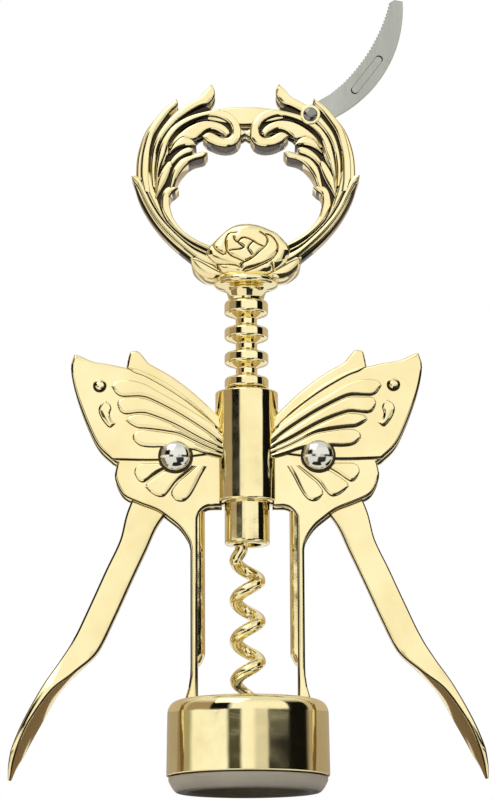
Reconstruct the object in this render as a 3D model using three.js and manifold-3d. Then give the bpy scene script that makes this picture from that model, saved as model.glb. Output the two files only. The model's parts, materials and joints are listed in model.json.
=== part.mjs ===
// Wing corkscrew: a die-cast frame with two butterfly-shaped pairs of cheeks, two geared levers,
// a collared rack sleeve, a worm that spins inside it, and a ring handle with a folding foil blade.
// Millimetres, +Z up, front towards -Y. The origin is the centre of the bottle guide's bottom face.

import * as THREE from 'three';
import { mergeVertices } from 'three/addons/utils/BufferGeometryUtils.js';
import Module from 'manifold-3d';

const wasm = await Module();
wasm.setup();

// Clearances and the cutting overrun
const seatGap = 0.3;
const runningGap = 0.15;
const rackGuideGap = 0.4;
const overrun = 1;

// Rack, gear and lever pivots
const rackPitch = 6.38;
const gearTeethRound = 13;
const pitchLineRadius = 4.5;
const pressureAngle = THREE.MathUtils.degToRad(20);
const pitchRadius = (gearTeethRound * rackPitch) / (2 * Math.PI);
const pivotOffset = pitchRadius + pitchLineRadius;
const pivotHeight = 83;

// Rack sleeve
const collarRadius = 5.5;
const neckRadius = 2.7;
const collarLand = 2.6;
const collarsBelowPivot = 1;
const collarsAbovePivot = 6;
const topCollarEdge = 0.6;
const collarFlank = (collarRadius - neckRadius) * Math.tan(pressureAngle);
const rackBottom = pivotHeight - collarsBelowPivot * rackPitch - collarLand / 2 - collarFlank;
const rackTop = pivotHeight + collarsAbovePivot * rackPitch + collarLand / 2 + topCollarEdge;

// Gear sector of a lever
const gearTipClearance = 0.4;
const gearRootClearance = 0.35;
const backlash = 0.45;
const sectorTeeth = 6;

// Frame: bell
const bellRadius = 20.1;
const bellTopRadius = 19.8;
const bellBottom = 4;
const bellTop = 22.6;
const bellShoulder = 3.4;
const bellCavityRadius = 16.9;
const lipSeatHeight = 19;
const bellHoleRadius = 6;

// Frame: sleeve round the rack
const sleeveRadius = 7.85;
const sleeveBottom = pivotHeight - 11.2;
const sleeveTop = pivotHeight + 16.9;
const sleeveEdge = 0.5;
const sleeveBoreRadius = collarRadius + rackGuideGap;

// Frame: cheeks, wings, legs
const slotHalf = 2;
const cheekFace = 3.8;
const forePanelFace = 5.2;
const wingSpan = 43.85;
const wingRise = 26.1;
const hindSpan = 32.85;
const hindDrop = 23.3;
const legInnerX = 12.3;
const legOuterX = 14.1;
const legFlareX = 15.5;
const legFlareHeight = 7;
const archHeight = pivotHeight - 12.4;
const archRadius = 3.5;
const webInnerX = 10.4;
const webHalf = 2.6;
const webBottom = bellTop + 8.4;
const webLap = 0.7;
const gearPocketGap = 0.6;
const pivotBossRadius = 4.4;

// Bottle guide insert
const guideBoreRadius = 14.75;
const guideFlangeRadius = 19.6;
const guideFootRadius = 18.4;
const guideSpigotHeight = 14;
const guideRounding = 1.8;
const guideLeadIn = 0.5;

// Levers
const leverHalf = 1.5;
const leverReach = 40.6;
const leverTipHeight = 2;
const leverDrop = pivotHeight - leverTipHeight;
const strapBreadth = 7.1;
const paddleBreadth = 9.2;
const paddleThickness = 1.7;
const paddleTwist = THREE.MathUtils.degToRad(70);

// Pivot rivets, their caps and the friction washers beside each lever
const rivetRadius = 2.4;
const rivetHeadRadius = 3.83;
const rivetDome = 2.1;
const rivetStubRadius = 1.3;
const rivetStubLength = 1.2;
const washerThickness = 0.3;
const washerRadius = 4.6;

// Ferrule, thrust washer and cross pins, hung under the rack
const thrustWasherThickness = 0.8;
const thrustWasherTop = rackBottom - seatGap;
const ferruleTop = thrustWasherTop - thrustWasherThickness - seatGap;
const ferruleRadius = 5.6;
const ferruleLength = 11.6;
const ferruleBottom = ferruleTop - ferruleLength;
const ferruleEdge = 0.8;
const ferruleMouthRadius = 3.5;
const ferruleMouthTop = ferruleBottom + 5.7;
const crossPinRadius = 0.6;
const crossPinInset = 2.6;
const ferrulePinHeight = ferruleTop - crossPinInset;

// Handle heights, from the rack's top
const handleBottom = rackTop + seatGap;
const handlePinHeight = handleBottom + crossPinInset;
const shankInHandle = 10.5;
const shankTop = handleBottom + shankInHandle;

// Worm, its heights from the ferrule that holds it
const wireRadius = 1.6;
const wormRadius = 2.85;
const wormPitch = 10.05;
const wormTurns = 3.56;
const wormNeckHeight = ferruleBottom - 0.9;
const wormCurlTop = wormNeckHeight - 3;
const wormFirstRight = wormCurlTop - 0.493 * wormPitch;
const wormTip = wormCurlTop - wormTurns * wormPitch;
const wormNeckOffset = 1.5;
const wormAxisHeight = ferruleMouthTop - 1;
const wormTipLength = 6;
const curlSteps = 8;
const wireSides = 5;

// Ring handle
const ringHalfWidth = 28.85;
const ringBase = handleBottom + 4.7;
const ringHeight = 50.7;
const ringHalfThickness = 4.1;
const flareRadius = 8.1;
const flareHeight = 7.6;
const roseRadius = 10;
const roseCentre = ringBase + 6.8;
const roseFace = 5.6;

// Foil blade and its rivet
const bladePivotShares = { across: 0.5702, up: 0.8442 };
const bladePivotX = bladePivotShares.across * ringHalfWidth;
const bladePivotZ = ringBase + bladePivotShares.up * ringHeight;
const bladeHalf = 0.5;
const bladeTangRadius = 3;
const bladeTangStart = 0.64 * Math.PI;
const bladeTangEnd = 1.56 * Math.PI;
const bladeLength = 38.4;
const bladeShares = { backRadius: 0.8516, edgeRadius: 1.2083 };
const bladeBackRadius = bladeShares.backRadius * bladeLength;
const bladeBackInset = 1.96;
const bladeBackTilt = THREE.MathUtils.degToRad(106.34);
const bladeBackCentreX = bladePivotX + (bladeBackRadius - bladeBackInset) * Math.cos(bladeBackTilt);
const bladeBackCentreZ = bladePivotZ + (bladeBackRadius - bladeBackInset) * Math.sin(bladeBackTilt);
const bladeEdgeRadius = bladeShares.edgeRadius * bladeLength;
const bladeEdgeInset = 2.4;
const bladeEdgeTilt = THREE.MathUtils.degToRad(120.14);
const bladeEdgeCentreX = bladePivotX + (bladeEdgeRadius + bladeEdgeInset) * Math.cos(bladeEdgeTilt);
const bladeEdgeCentreZ = bladePivotZ + (bladeEdgeRadius + bladeEdgeInset) * Math.sin(bladeEdgeTilt);
const bladeTipAngle = THREE.MathUtils.degToRad(55.3);
const bladeFold = THREE.MathUtils.degToRad(126);
const bladeWasherThickness = 0.4;
const bladeWasherRadius = 2.3;
const bladeRivetRadius = 1;
const bladeHeadRadius = 1.8;
const bladeHeadDome = 0.7;
const bladeBossRadius = 2.6;
const bladeBossRise = 0.4;
const bladeSlotHalf = bladeHalf + bladeWasherThickness + 2 * runningGap;

// Finish colours
const goldColour = 0xe6c886;
const steelColour = 0xbfc0b8;
const plasticColour = 0x948e84;
const nylonColour = 0xe8e6dc;

// Fineness of round shapes
const roundSteps = 32;
const smallRoundSteps = 16;
const curveSteps = 2;

// Outline shares: across as a share of the piece's half width, up as a share of its height.
// A run is smooth inside and meets the next run at a corner.
const foreWingShares = [
  [[0.15, 0.03], [0.33, -0.01], [0.5, -0.04], [0.7, -0.035], [0.764, -0.03]],
  [[0.764, -0.03], [0.843, 0.1], [0.9, 0.287], [0.954, 0.52], [0.986, 0.705], [1, 0.88], [0.98, 1]],
  [[0.98, 1], [0.957, 0.992], [0.875, 0.931], [0.786, 0.904], [0.681, 0.866]],
  [[0.681, 0.866], [0.544, 0.8], [0.448, 0.7], [0.364, 0.586], [0.243, 0.406], [0.15, 0.28]],
];
const wingBandShares = [
  [[0.685, 0.875], [0.667, 1.015], [0.644, 1.038], [0.612, 1.027], [0.558, 0.916]],
  [[0.558, 0.916], [0.432, 0.793], [0.304, 0.628], [0.171, 0.414], [0.12, 0.34]],
];
const hindWingShares = [
  [[0.984, -0.064], [1, -0.206], [0.973, -0.33], [0.921, -0.425], [0.796, -0.506]],
  [[0.796, -0.506], [0.674, -0.575], [0.58, -0.67], [0.507, -0.76], [0.446, -0.893], [0.429, -1]],
];
// Out, down, change from strap to twisted paddle, and breadth there
const leverStationShares = [
  [0.09, 0.086, 0, 1.5], [0.2, 0.181, 0, 1.2], [0.262, 0.268, 0, 1], [0.353, 0.367, 0, 1],
  [0.454, 0.48, 0, 1.1], [0.545, 0.574, 0, 1.06], [0.653, 0.642, 0.3, 0.85], [0.758, 0.709, 0.8, 0.91],
  [0.862, 0.801, 0.97, 1], [0.931, 0.873, 1, 1], [0.979, 0.936, 1, 0.82], [1, 0.985, 1, 0.46],
];
const ringOuterShares = [
  [[0, 0.888], [0.12, 0.888], [0.243, 0.872]],
  [[0.243, 0.872], [0.279, 0.945], [0.321, 1], [0.397, 0.945], [0.484, 0.911], [0.588, 0.886]],
  [[0.588, 0.886], [0.629, 0.935]],
  [[0.629, 0.935], [0.705, 0.878], [0.816, 0.793], [0.899, 0.72], [0.941, 0.637], [0.958, 0.554]],
  [[0.958, 0.554], [1, 0.529]],
  [[1, 0.529], [0.934, 0.471], [0.879, 0.383], [0.806, 0.3], [0.664, 0.203], [0.511, 0.13]],
  [[0.511, 0.13], [0.466, 0.053], [0.386, 0.008], [0.279, 0], [0.217, 0.028], [0, 0.028]],
];
const ringInnerShares = [
  [[0, 0.7], [0.071, 0.657], [0.14, 0.623], [0.251, 0.627], [0.338, 0.639]],
  [[0.338, 0.639], [0.366, 0.598], [0.463, 0.564], [0.56, 0.531], [0.601, 0.465]],
  [[0.601, 0.465], [0.664, 0.416], [0.653, 0.341], [0.598, 0.276], [0.497, 0.219], [0.338, 0.168]],
  [[0.338, 0.168], [0.321, 0.192], [0.182, 0.231], [0, 0.28]],
];
const flareShares = [
  [0, 0], [0.555, 0], [0.565, 0.09], [0.62, 0.22], [0.73, 0.34], [0.94, 0.45], [1, 0.51],
  [1, 0.64], [0.93, 0.72], [0.6, 0.9], [0, 1],
];

const bladeTipShares = { edge: 0.985, back: 0.93 };
const bladeRootShare = 1.3;

const { lerp } = THREE.MathUtils;

// Geometry helpers

function signedVolume(positions, index) {
  const [a, b, c] = [new THREE.Vector3(), new THREE.Vector3(), new THREE.Vector3()];
  let volume = 0;
  for (let i = 0; i < index.length; i += 3) {
    a.fromArray(positions, 3 * index[i]);
    b.fromArray(positions, 3 * index[i + 1]);
    c.fromArray(positions, 3 * index[i + 2]);
    volume += a.dot(b.cross(c));
  }
  return volume;
}

function solid(geometry) {
  const bare = geometry.clone();
  bare.deleteAttribute('normal');
  bare.deleteAttribute('uv');
  const merged = mergeVertices(bare);
  const positions = merged.attributes.position.array;
  const kept = [];
  for (let i = 0; i < merged.index.count; i += 3) {
    const [a, b, c] = [0, 1, 2].map((k) => merged.index.array[i + k]);
    if (a !== b && b !== c && c !== a) kept.push(a, b, c);
  }
  if (signedVolume(positions, kept) < 0) {
    for (let i = 0; i < kept.length; i += 3) [kept[i], kept[i + 1]] = [kept[i + 1], kept[i]];
  }
  const mesh = new wasm.Mesh({
    numProp: 3,
    vertProperties: new Float32Array(positions),
    triVerts: new Uint32Array(kept),
  });
  return new wasm.Manifold(mesh);
}

function geometryOf(body) {
  const mesh = body.getMesh();
  const geometry = new THREE.BufferGeometry();
  geometry.setAttribute('position', new THREE.BufferAttribute(mesh.vertProperties, 3));
  geometry.setIndex(new THREE.BufferAttribute(mesh.triVerts, 1));
  geometry.computeVertexNormals();
  return geometry;
}

const join = (bodies) => bodies.reduce((whole, body) => whole.add(body));
const cut = (body, tools) => tools.reduce((rest, tool) => rest.subtract(tool), body);
const moved = (body, x, y, z) => body.translate([x, y, z]);
const mirrored = (body) => body.mirror([1, 0, 0]);

// Revolves [radius, height] pairs round the Z axis
function revolved(profile, steps = roundSteps) {
  const points = profile.map(([radius, height]) => new THREE.Vector2(radius, height));
  return solid(new THREE.LatheGeometry(points, steps).rotateX(Math.PI / 2));
}

// A ring-shaped solid between two radii and two heights
function tubeRing(inner, outer, bottom, top, steps = smallRoundSteps) {
  return revolved([[inner, bottom], [outer, bottom], [outer, top], [inner, top], [inner, bottom]], steps);
}

// A round bar along Z
function bar(radius, bottom, top, steps = smallRoundSteps) {
  return revolved([[0, bottom], [radius, bottom], [radius, top], [0, top]], steps);
}

const alongY = (body) => body.rotate([90, 0, 0]);
const alongX = (body) => body.rotate([0, 90, 0]);

// Extrudes an outline in the XZ plane between two depths along Y
function plate(outline, front, back) {
  const shape = new THREE.Shape(outline);
  const geometry = new THREE.ExtrudeGeometry(shape, { depth: back - front, bevelEnabled: false });
  return moved(solid(geometry.rotateX(Math.PI / 2)), 0, back, 0);
}

function box(x0, x1, y0, y1, z0, z1) {
  const geometry = new THREE.BoxGeometry(x1 - x0, y1 - y0, z1 - z0);
  return moved(solid(geometry), (x0 + x1) / 2, (y0 + y1) / 2, (z0 + z1) / 2);
}

// Smooth runs of share pairs become one open line of points
function lineOf(runs, halfWidth, base, height) {
  const line = [];
  for (const run of runs) {
    const corners = run.map(([across, up]) => new THREE.Vector2(across * halfWidth, base + up * height));
    const points = run.length > 2
      ? new THREE.SplineCurve(corners).getPoints(curveSteps * (run.length - 1))
      : corners;
    line.push(...points.slice(line.length ? 1 : 0));
  }
  return line;
}

// Closes a right-hand half outline, listed from the axis round to the axis, with its mirror image
function mirrorClosed(half) {
  const other = half.slice(1, -1).reverse().map((p) => new THREE.Vector2(-p.x, p.y));
  return [...half, ...other];
}

function arcPoints(centreX, centreZ, radius, from, to, steps) {
  const points = [];
  for (let i = 0; i <= steps; i += 1) {
    const angle = lerp(from, to, i / steps);
    points.push(new THREE.Vector2(centreX + radius * Math.cos(angle), centreZ + radius * Math.sin(angle)));
  }
  return points;
}

// Joins rings of points into a closed skin; each end is closed by a fan round its middle
function skin(rings) {
  const sides = rings[0].length;
  const positions = rings.flat().flatMap((p) => p.toArray());
  const index = [];
  for (let r = 0; r + 1 < rings.length; r += 1) {
    for (let s = 0; s < sides; s += 1) {
      const [a, b] = [r * sides + s, r * sides + ((s + 1) % sides)];
      index.push(a, b, b + sides, a, b + sides, a + sides);
    }
  }
  for (const end of [0, rings.length - 1]) {
    const middle = rings[end].reduce((sum, p) => sum.add(p), new THREE.Vector3()).divideScalar(sides);
    const hub = positions.length / 3;
    positions.push(...middle.toArray());
    for (let s = 0; s < sides; s += 1) {
      const [a, b] = [end * sides + s, end * sides + ((s + 1) % sides)];
      index.push(...(end === 0 ? [hub, b, a] : [hub, a, b]));
    }
  }
  const geometry = new THREE.BufferGeometry();
  geometry.setAttribute('position', new THREE.Float32BufferAttribute(positions, 3));
  geometry.setIndex(index);
  return solid(geometry);
}

// Frame casting

function bell() {
  const shoulderCentre = bellTop - bellShoulder;
  const shoulder = arcPoints(bellTopRadius - bellShoulder, shoulderCentre, bellShoulder, 0, Math.PI / 2, 4);
  return revolved([
    [bellCavityRadius, bellBottom], [bellRadius, bellBottom],
    ...shoulder.map((p) => [p.x, p.y]),
    [bellHoleRadius, bellTop], [bellHoleRadius, lipSeatHeight],
    [bellCavityRadius, lipSeatHeight], [bellCavityRadius, bellBottom],
  ]);
}

function sleeve() {
  return revolved([
    [0, sleeveBottom], [sleeveRadius - sleeveEdge, sleeveBottom],
    [sleeveRadius, sleeveBottom + sleeveEdge], [sleeveRadius, sleeveTop - sleeveEdge],
    [sleeveRadius - sleeveEdge, sleeveTop], [0, sleeveTop],
  ]);
}

const foreWingLine = () => lineOf(foreWingShares, wingSpan, pivotHeight, wingRise);
const hindWingLine = () => lineOf(hindWingShares, hindSpan, pivotHeight, hindDrop);
const wingBandLine = () => lineOf(wingBandShares, wingSpan, pivotHeight, wingRise);

// One cheek's flat base: leg, arch, hind wing, the wing's outer edge and the band above it
function cheekOutline() {
  const legFoot = bellTop - overrun / 2;
  const inner = [
    new THREE.Vector2(neckRadius, archHeight),
    ...arcPoints(legInnerX - archRadius, archHeight - archRadius, archRadius, Math.PI / 2, 0, 5),
    new THREE.Vector2(legInnerX, legFoot),
  ];
  const outer = [
    new THREE.Vector2(legFlareX, legFoot),
    new THREE.Vector2(lerp(legOuterX, legFlareX, 0.2), bellTop + legFlareHeight / 3),
    new THREE.Vector2(legOuterX, bellTop + legFlareHeight),
  ];
  const foreEdge = foreWingLine().slice(4 * curveSteps, -5 * curveSteps);
  const top = new THREE.Vector2(neckRadius, wingBandLine().at(-1).y);
  return [...inner, ...outer, ...hindWingLine().reverse(), ...foreEdge, ...wingBandLine(), top];
}

function wingSide() {
  const parts = [box(webInnerX, legInnerX + webLap, -webHalf, webHalf, webBottom, archHeight - overrun)];
  for (const side of [-1, 1]) {
    const depths = (face) => (side < 0 ? [-face, -slotHalf] : [slotHalf, face]);
    parts.push(plate(cheekOutline(), ...depths(cheekFace)));
    parts.push(plate(foreWingLine(), ...depths(forePanelFace)));
    parts.push(moved(alongY(bar(pivotBossRadius, ...depths(forePanelFace).map((y) => -y).reverse())),
      pivotOffset, 0, pivotHeight));
  }
  return join(parts);
}

function frameCasting() {
  const outerRadius = pivotOffset - neckRadius - gearTipClearance;
  const pocket = alongY(bar(outerRadius + gearPocketGap, -slotHalf, slotHalf, roundSteps));
  const through = forePanelFace + overrun;
  const rivetBore = alongY(bar(rivetRadius + runningGap, -through, through));
  const right = wingSide();
  const cast = join([bell(), sleeve(), right, mirrored(right)]);
  const cuts = [bar(sleeveBoreRadius, bellTop + overrun, sleeveTop + overrun, roundSteps)];
  for (const side of [-1, 1]) {
    cuts.push(moved(pocket, side * pivotOffset, 0, pivotHeight));
    cuts.push(moved(rivetBore, side * pivotOffset, 0, pivotHeight));
  }
  return cut(cast, cuts);
}

function bottleGuide() {
  const flangeTop = bellBottom - seatGap;
  const spigotRadius = bellCavityRadius - runningGap;
  const foot = arcPoints(guideFootRadius - guideRounding, guideRounding, guideRounding, -Math.PI / 2, 0, 3);
  return revolved([
    [guideBoreRadius + guideLeadIn, 0], ...foot.map((p) => [p.x, p.y]),
    [guideFlangeRadius, flangeTop], [spigotRadius, flangeTop],
    [spigotRadius, guideSpigotHeight], [guideBoreRadius, guideSpigotHeight],
    [guideBoreRadius, guideLeadIn], [guideBoreRadius + guideLeadIn, 0],
  ]);
}

// Levers

const involute = (angle) => Math.tan(angle) - angle;

// One gear tooth centred on +X, from inside the root disc out to the tip
function toothOutline(rootRadius, tipRadius) {
  const baseRadius = pitchRadius * Math.cos(pressureAngle);
  const collarAtPitch = collarLand + 2 * (collarRadius - pitchLineRadius) * Math.tan(pressureAngle);
  const thickness = rackPitch - collarAtPitch - backlash;
  const flank = [];
  for (let i = 0; i <= 3; i += 1) {
    const radius = lerp(baseRadius, tipRadius, i / 3);
    const rolled = Math.acos(Math.min(1, baseRadius / radius));
    flank.push([radius, thickness / (2 * pitchRadius) + involute(pressureAngle) - involute(rolled)]);
  }
  flank.unshift([rootRadius - seatGap, flank[0][1]]);
  const corner = ([radius, angle]) => new THREE.Vector2(radius * Math.cos(angle), radius * Math.sin(angle));
  const lower = flank.map(([radius, angle]) => corner([radius, -angle]));
  return [...lower, ...flank.reverse().map(corner)];
}

// A strap section: an octagon with a broad and a thin half size, turned about the arm
function strapRing(centre, along, halfBroad, halfThin, twist) {
  const across = new THREE.Vector3(-along.z, 0, along.x);
  const depth = new THREE.Vector3(0, 1, 0);
  const broad = across.clone().multiplyScalar(Math.cos(twist)).addScaledVector(depth, -Math.sin(twist));
  const thin = across.clone().multiplyScalar(Math.sin(twist)).addScaledVector(depth, Math.cos(twist));
  const bevel = Math.min(halfThin, halfBroad) * 0.5;
  const corners = [
    [halfBroad, halfThin - bevel], [halfBroad - bevel, halfThin],
    [bevel - halfBroad, halfThin], [-halfBroad, halfThin - bevel],
    [-halfBroad, bevel - halfThin], [bevel - halfBroad, -halfThin],
    [halfBroad - bevel, -halfThin], [halfBroad, bevel - halfThin],
  ];
  return corners.map(([b, t]) => centre.clone().addScaledVector(broad, b).addScaledVector(thin, t));
}

// The arm of the right-hand lever, from its hub down to the tip, about the pivot
function leverArm() {
  const centres = leverStationShares.map(([out, down]) => (
    new THREE.Vector3(out * leverReach, 0, -down * leverDrop)));
  const rings = centres.map((centre, i) => {
    const before = centres[Math.max(i - 1, 0)];
    const after = centres[Math.min(i + 1, centres.length - 1)];
    const along = after.clone().sub(before).normalize();
    const [, , change, breadth] = leverStationShares[i];
    const halfBroad = (breadth * lerp(strapBreadth, paddleBreadth, change)) / 2;
    const halfThin = lerp(leverHalf, paddleThickness / 2, change);
    return strapRing(centre, along, halfBroad, halfThin, change * paddleTwist);
  });
  return skin(rings);
}

// The right-hand lever about its pivot; its teeth face the rack, towards -X
function lever() {
  const tipRadius = pivotOffset - neckRadius - gearTipClearance;
  const rootRadius = pivotOffset - collarRadius - gearRootClearance;
  const toothStep = (2 * Math.PI) / gearTeethRound;
  const parts = [alongY(bar(rootRadius, -leverHalf, leverHalf, roundSteps)), leverArm()];
  const tooth = plate(toothOutline(rootRadius, tipRadius), -leverHalf, leverHalf);
  for (let i = 0; i < sectorTeeth; i += 1) {
    const angle = 180 + THREE.MathUtils.radToDeg(toothStep * (i - 0.5));
    parts.push(tooth.rotate([0, angle, 0]));
  }
  const bore = alongY(bar(rivetRadius + runningGap, -leverHalf - overrun, leverHalf + overrun));
  return cut(join(parts), [bore]);
}

// Rivets and washers, each about its own pivot axis with the head towards -Y

function domeProfile(radius, base, rise) {
  return [[radius, base], [radius, base + rise * 0.35], [radius * 0.8, base + rise * 0.75],
    [radius * 0.45, base + rise * 0.95], [0, base + rise]];
}

function pivotRivet() {
  const seat = forePanelFace + runningGap;
  const shankEnd = -forePanelFace + seatGap;
  const stubEnd = -forePanelFace - rivetStubLength;
  return alongY(revolved([
    [0, stubEnd], [rivetStubRadius, stubEnd], [rivetStubRadius, shankEnd], [rivetRadius, shankEnd],
    [rivetRadius, seat], ...domeProfile(rivetHeadRadius, seat, rivetDome),
  ], smallRoundSteps));
}

function rivetCap() {
  const seat = forePanelFace + runningGap;
  const socket = seat + rivetStubLength + runningGap;
  const boreRadius = rivetStubRadius + runningGap;
  const profile = [[0, socket], [boreRadius, socket], [boreRadius, seat],
    ...domeProfile(rivetHeadRadius, seat, rivetDome)];
  return alongY(revolved(profile, smallRoundSteps)).rotate([0, 0, 180]);
}

function frictionWasher() {
  const inner = rivetRadius + runningGap;
  return alongY(tubeRing(inner, washerRadius, -washerThickness / 2, washerThickness / 2));
}

// Rack sleeve about the screw axis, its heights measured from the lever pivots

function rackSleeve() {
  const boreRadius = wireRadius + seatGap;
  const bottom = rackBottom - pivotHeight;
  const profile = [[boreRadius, bottom]];
  for (let k = -collarsBelowPivot; k <= collarsAbovePivot; k += 1) {
    const middle = k * rackPitch;
    const [low, high] = [middle - collarLand / 2, middle + collarLand / 2];
    profile.push([neckRadius, low - collarFlank], [collarRadius, low], [collarRadius, high]);
    if (k < collarsAbovePivot) profile.push([neckRadius, high + collarFlank]);
  }
  const top = rackTop - pivotHeight;
  profile.push([collarRadius - topCollarEdge, top], [boreRadius, top], [boreRadius, bottom]);
  return revolved(profile, 24);
}

// Worm: the wire's centre line from the tip up through the curls to the straight shank

function wormPoint(height) {
  const held = Math.min(height, wormCurlTop);
  const angle = (2 * Math.PI * (held - wormFirstRight)) / wormPitch;
  const ease = (from, to) => THREE.MathUtils.smoothstep(height, from, to);
  const neck = lerp(wormRadius, wormNeckOffset, ease(wormCurlTop, wormNeckHeight));
  const radius = neck * (1 - ease(wormNeckHeight, wormAxisHeight));
  return new THREE.Vector3(radius * Math.cos(angle), radius * Math.sin(angle), height);
}

function wormLine() {
  const line = [];
  const rise = wormPitch / curlSteps;
  for (let height = wormTip; height < wormCurlTop; height += rise) line.push(wormPoint(height));
  const neckSteps = 8;
  for (let i = 0; i <= neckSteps; i += 1) {
    line.push(wormPoint(lerp(wormCurlTop, wormAxisHeight, i / neckSteps)));
  }
  line.push(wormPoint(shankTop));
  return line;
}

// The least distance between the wire's surface on one turn and on another
function leastTurnGap(line) {
  const turns = line.filter((p) => p.z <= wormCurlTop);
  let least = Infinity;
  turns.forEach((p, i) => turns.slice(i + curlSteps / 2).forEach((q) => {
    least = Math.min(least, p.distanceTo(q) - 2 * wireRadius);
  }));
  return least;
}

function worm() {
  const line = wormLine();
  console.log(`worm: least gap between turns ${leastTurnGap(line).toFixed(2)} mm`);
  const rings = line.map((point, i) => {
    const before = line[Math.max(i - 1, 0)];
    const after = line[Math.min(i + 1, line.length - 1)];
    const along = after.clone().sub(before).normalize();
    const side = new THREE.Vector3(0, 1, 0).cross(along).normalize();
    const third = along.clone().cross(side);
    const taper = Math.min(1, (point.z - wormTip) / wormTipLength);
    const radius = wireRadius * Math.max(taper, 0.12);
    return Array.from({ length: wireSides }, (_, k) => {
      const turn = (2 * Math.PI * k) / wireSides;
      return point.clone().addScaledVector(side, radius * Math.cos(turn))
        .addScaledVector(third, radius * Math.sin(turn));
    });
  });
  const through = wireRadius + overrun;
  const hole = alongX(bar(crossPinRadius + runningGap, -through, through, 12));
  return cut(skin(rings), [ferrulePinHeight, handlePinHeight].map((z) => moved(hole, 0, 0, z)));
}

function crossPin(length) {
  return alongX(bar(crossPinRadius, -length / 2, length / 2, 12));
}

function wormFerrule() {
  const boreRadius = wireRadius + runningGap;
  const bodyOfFerrule = revolved([
    [ferruleMouthRadius, ferruleBottom], [ferruleRadius - ferruleEdge, ferruleBottom],
    [ferruleRadius, ferruleBottom + ferruleEdge], [ferruleRadius, ferruleTop], [boreRadius, ferruleTop],
    [boreRadius, ferruleMouthTop], [ferruleMouthRadius, ferruleMouthTop],
    [ferruleMouthRadius, ferruleBottom],
  ], 24);
  const through = ferruleRadius + overrun;
  const hole = alongX(bar(crossPinRadius + runningGap, -through, through, 12));
  return cut(bodyOfFerrule, [moved(hole, 0, 0, ferrulePinHeight)]);
}

// Foil blade: its outline when open, with the concave cutting edge towards the upper left

const angleTo = (x, z, centreX, centreZ) => Math.atan2(z - centreZ, x - centreX);

function bladeArc(radius, centreX, centreZ, tipShare, steps, offset = 0) {
  const rootX = bladePivotX + bladeTangRadius * bladeRootShare;
  const rootZ = centreZ - Math.sqrt(radius ** 2 - (rootX - centreX) ** 2);
  const tipX = bladePivotX + bladeLength * tipShare * Math.cos(bladeTipAngle);
  const from = angleTo(rootX, rootZ, centreX, centreZ);
  const reach = bladePivotZ + bladeLength * tipShare * Math.sin(bladeTipAngle);
  const to = angleTo(tipX, reach, centreX, centreZ);
  return arcPoints(centreX, centreZ, radius + offset, from, to, steps);
}

function bladeOutline() {
  const back = bladeArc(bladeBackRadius, bladeBackCentreX, bladeBackCentreZ, bladeTipShares.back, 12);
  const edge = bladeArc(bladeEdgeRadius, bladeEdgeCentreX, bladeEdgeCentreZ, bladeTipShares.edge, 12);
  const tip = new THREE.Vector2(
    bladePivotX + bladeLength * Math.cos(bladeTipAngle),
    bladePivotZ + bladeLength * Math.sin(bladeTipAngle),
  );
  const tang = arcPoints(bladePivotX, bladePivotZ, bladeTangRadius, bladeTangStart, bladeTangEnd, 8);
  return [...back, tip, ...edge.reverse(), ...tang];
}

function foilBlade() {
  const bore = alongY(bar(bladeRivetRadius + runningGap, -bladeHalf - overrun, bladeHalf + overrun));
  return cut(plate(bladeOutline(), -bladeHalf, bladeHalf), [moved(bore, bladePivotX, 0, bladePivotZ)]);
}

// The space that the blade sweeps as it folds over the top of the ring
function bladeSlot() {
  const pivot = new THREE.Vector2(bladePivotX, bladePivotZ);
  const closedEdge = bladeArc(
    bladeEdgeRadius, bladeEdgeCentreX, bladeEdgeCentreZ, 1 + runningGap / bladeTangRadius, 10, -seatGap,
  ).map((p) => p.rotateAround(pivot, bladeFold));
  const openBack = bladeArc(
    bladeBackRadius, bladeBackCentreX, bladeBackCentreZ, bladeTipShares.back, 8, seatGap,
  ).slice(0, 3);
  const reach = bladeTangRadius + seatGap;
  const under = arcPoints(bladePivotX, bladePivotZ, reach, bladeTangStart + bladeFold, 1.75 * Math.PI, 5);
  const far = closedEdge.at(-1);
  const above = ringBase + ringHeight + 2 * overrun;
  const outline = [
    new THREE.Vector2(far.x, above), ...closedEdge.reverse(), ...under, ...openBack,
    new THREE.Vector2(openBack.at(-1).x, above),
  ];
  return plate(outline, -bladeSlotHalf, bladeSlotHalf);
}

// Ring handle

function ringPlate() {
  const outer = mirrorClosed(lineOf(ringOuterShares, ringHalfWidth, ringBase, ringHeight));
  const inner = mirrorClosed(lineOf(ringInnerShares, ringHalfWidth, ringBase, ringHeight));
  const opening = plate(inner, -ringHalfThickness - overrun, ringHalfThickness + overrun);
  return cut(plate(outer, -ringHalfThickness, ringHalfThickness), [opening]);
}

function handleFlare() {
  return revolved(flareShares.map(([across, up]) => (
    [across * flareRadius, handleBottom + up * flareHeight])), 32);
}

function rose() {
  const dome = [[0, -roseFace], [0.5, -roseFace], [0.85, -ringHalfThickness], [0.95, 0],
    [0.85, ringHalfThickness], [0.5, roseFace], [0, roseFace]];
  const blossom = revolved(dome.map(([share, y]) => [share * (roseRadius * 0.75), y]), smallRoundSteps);
  return moved(alongY(blossom), 0, 0, roseCentre);
}

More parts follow.
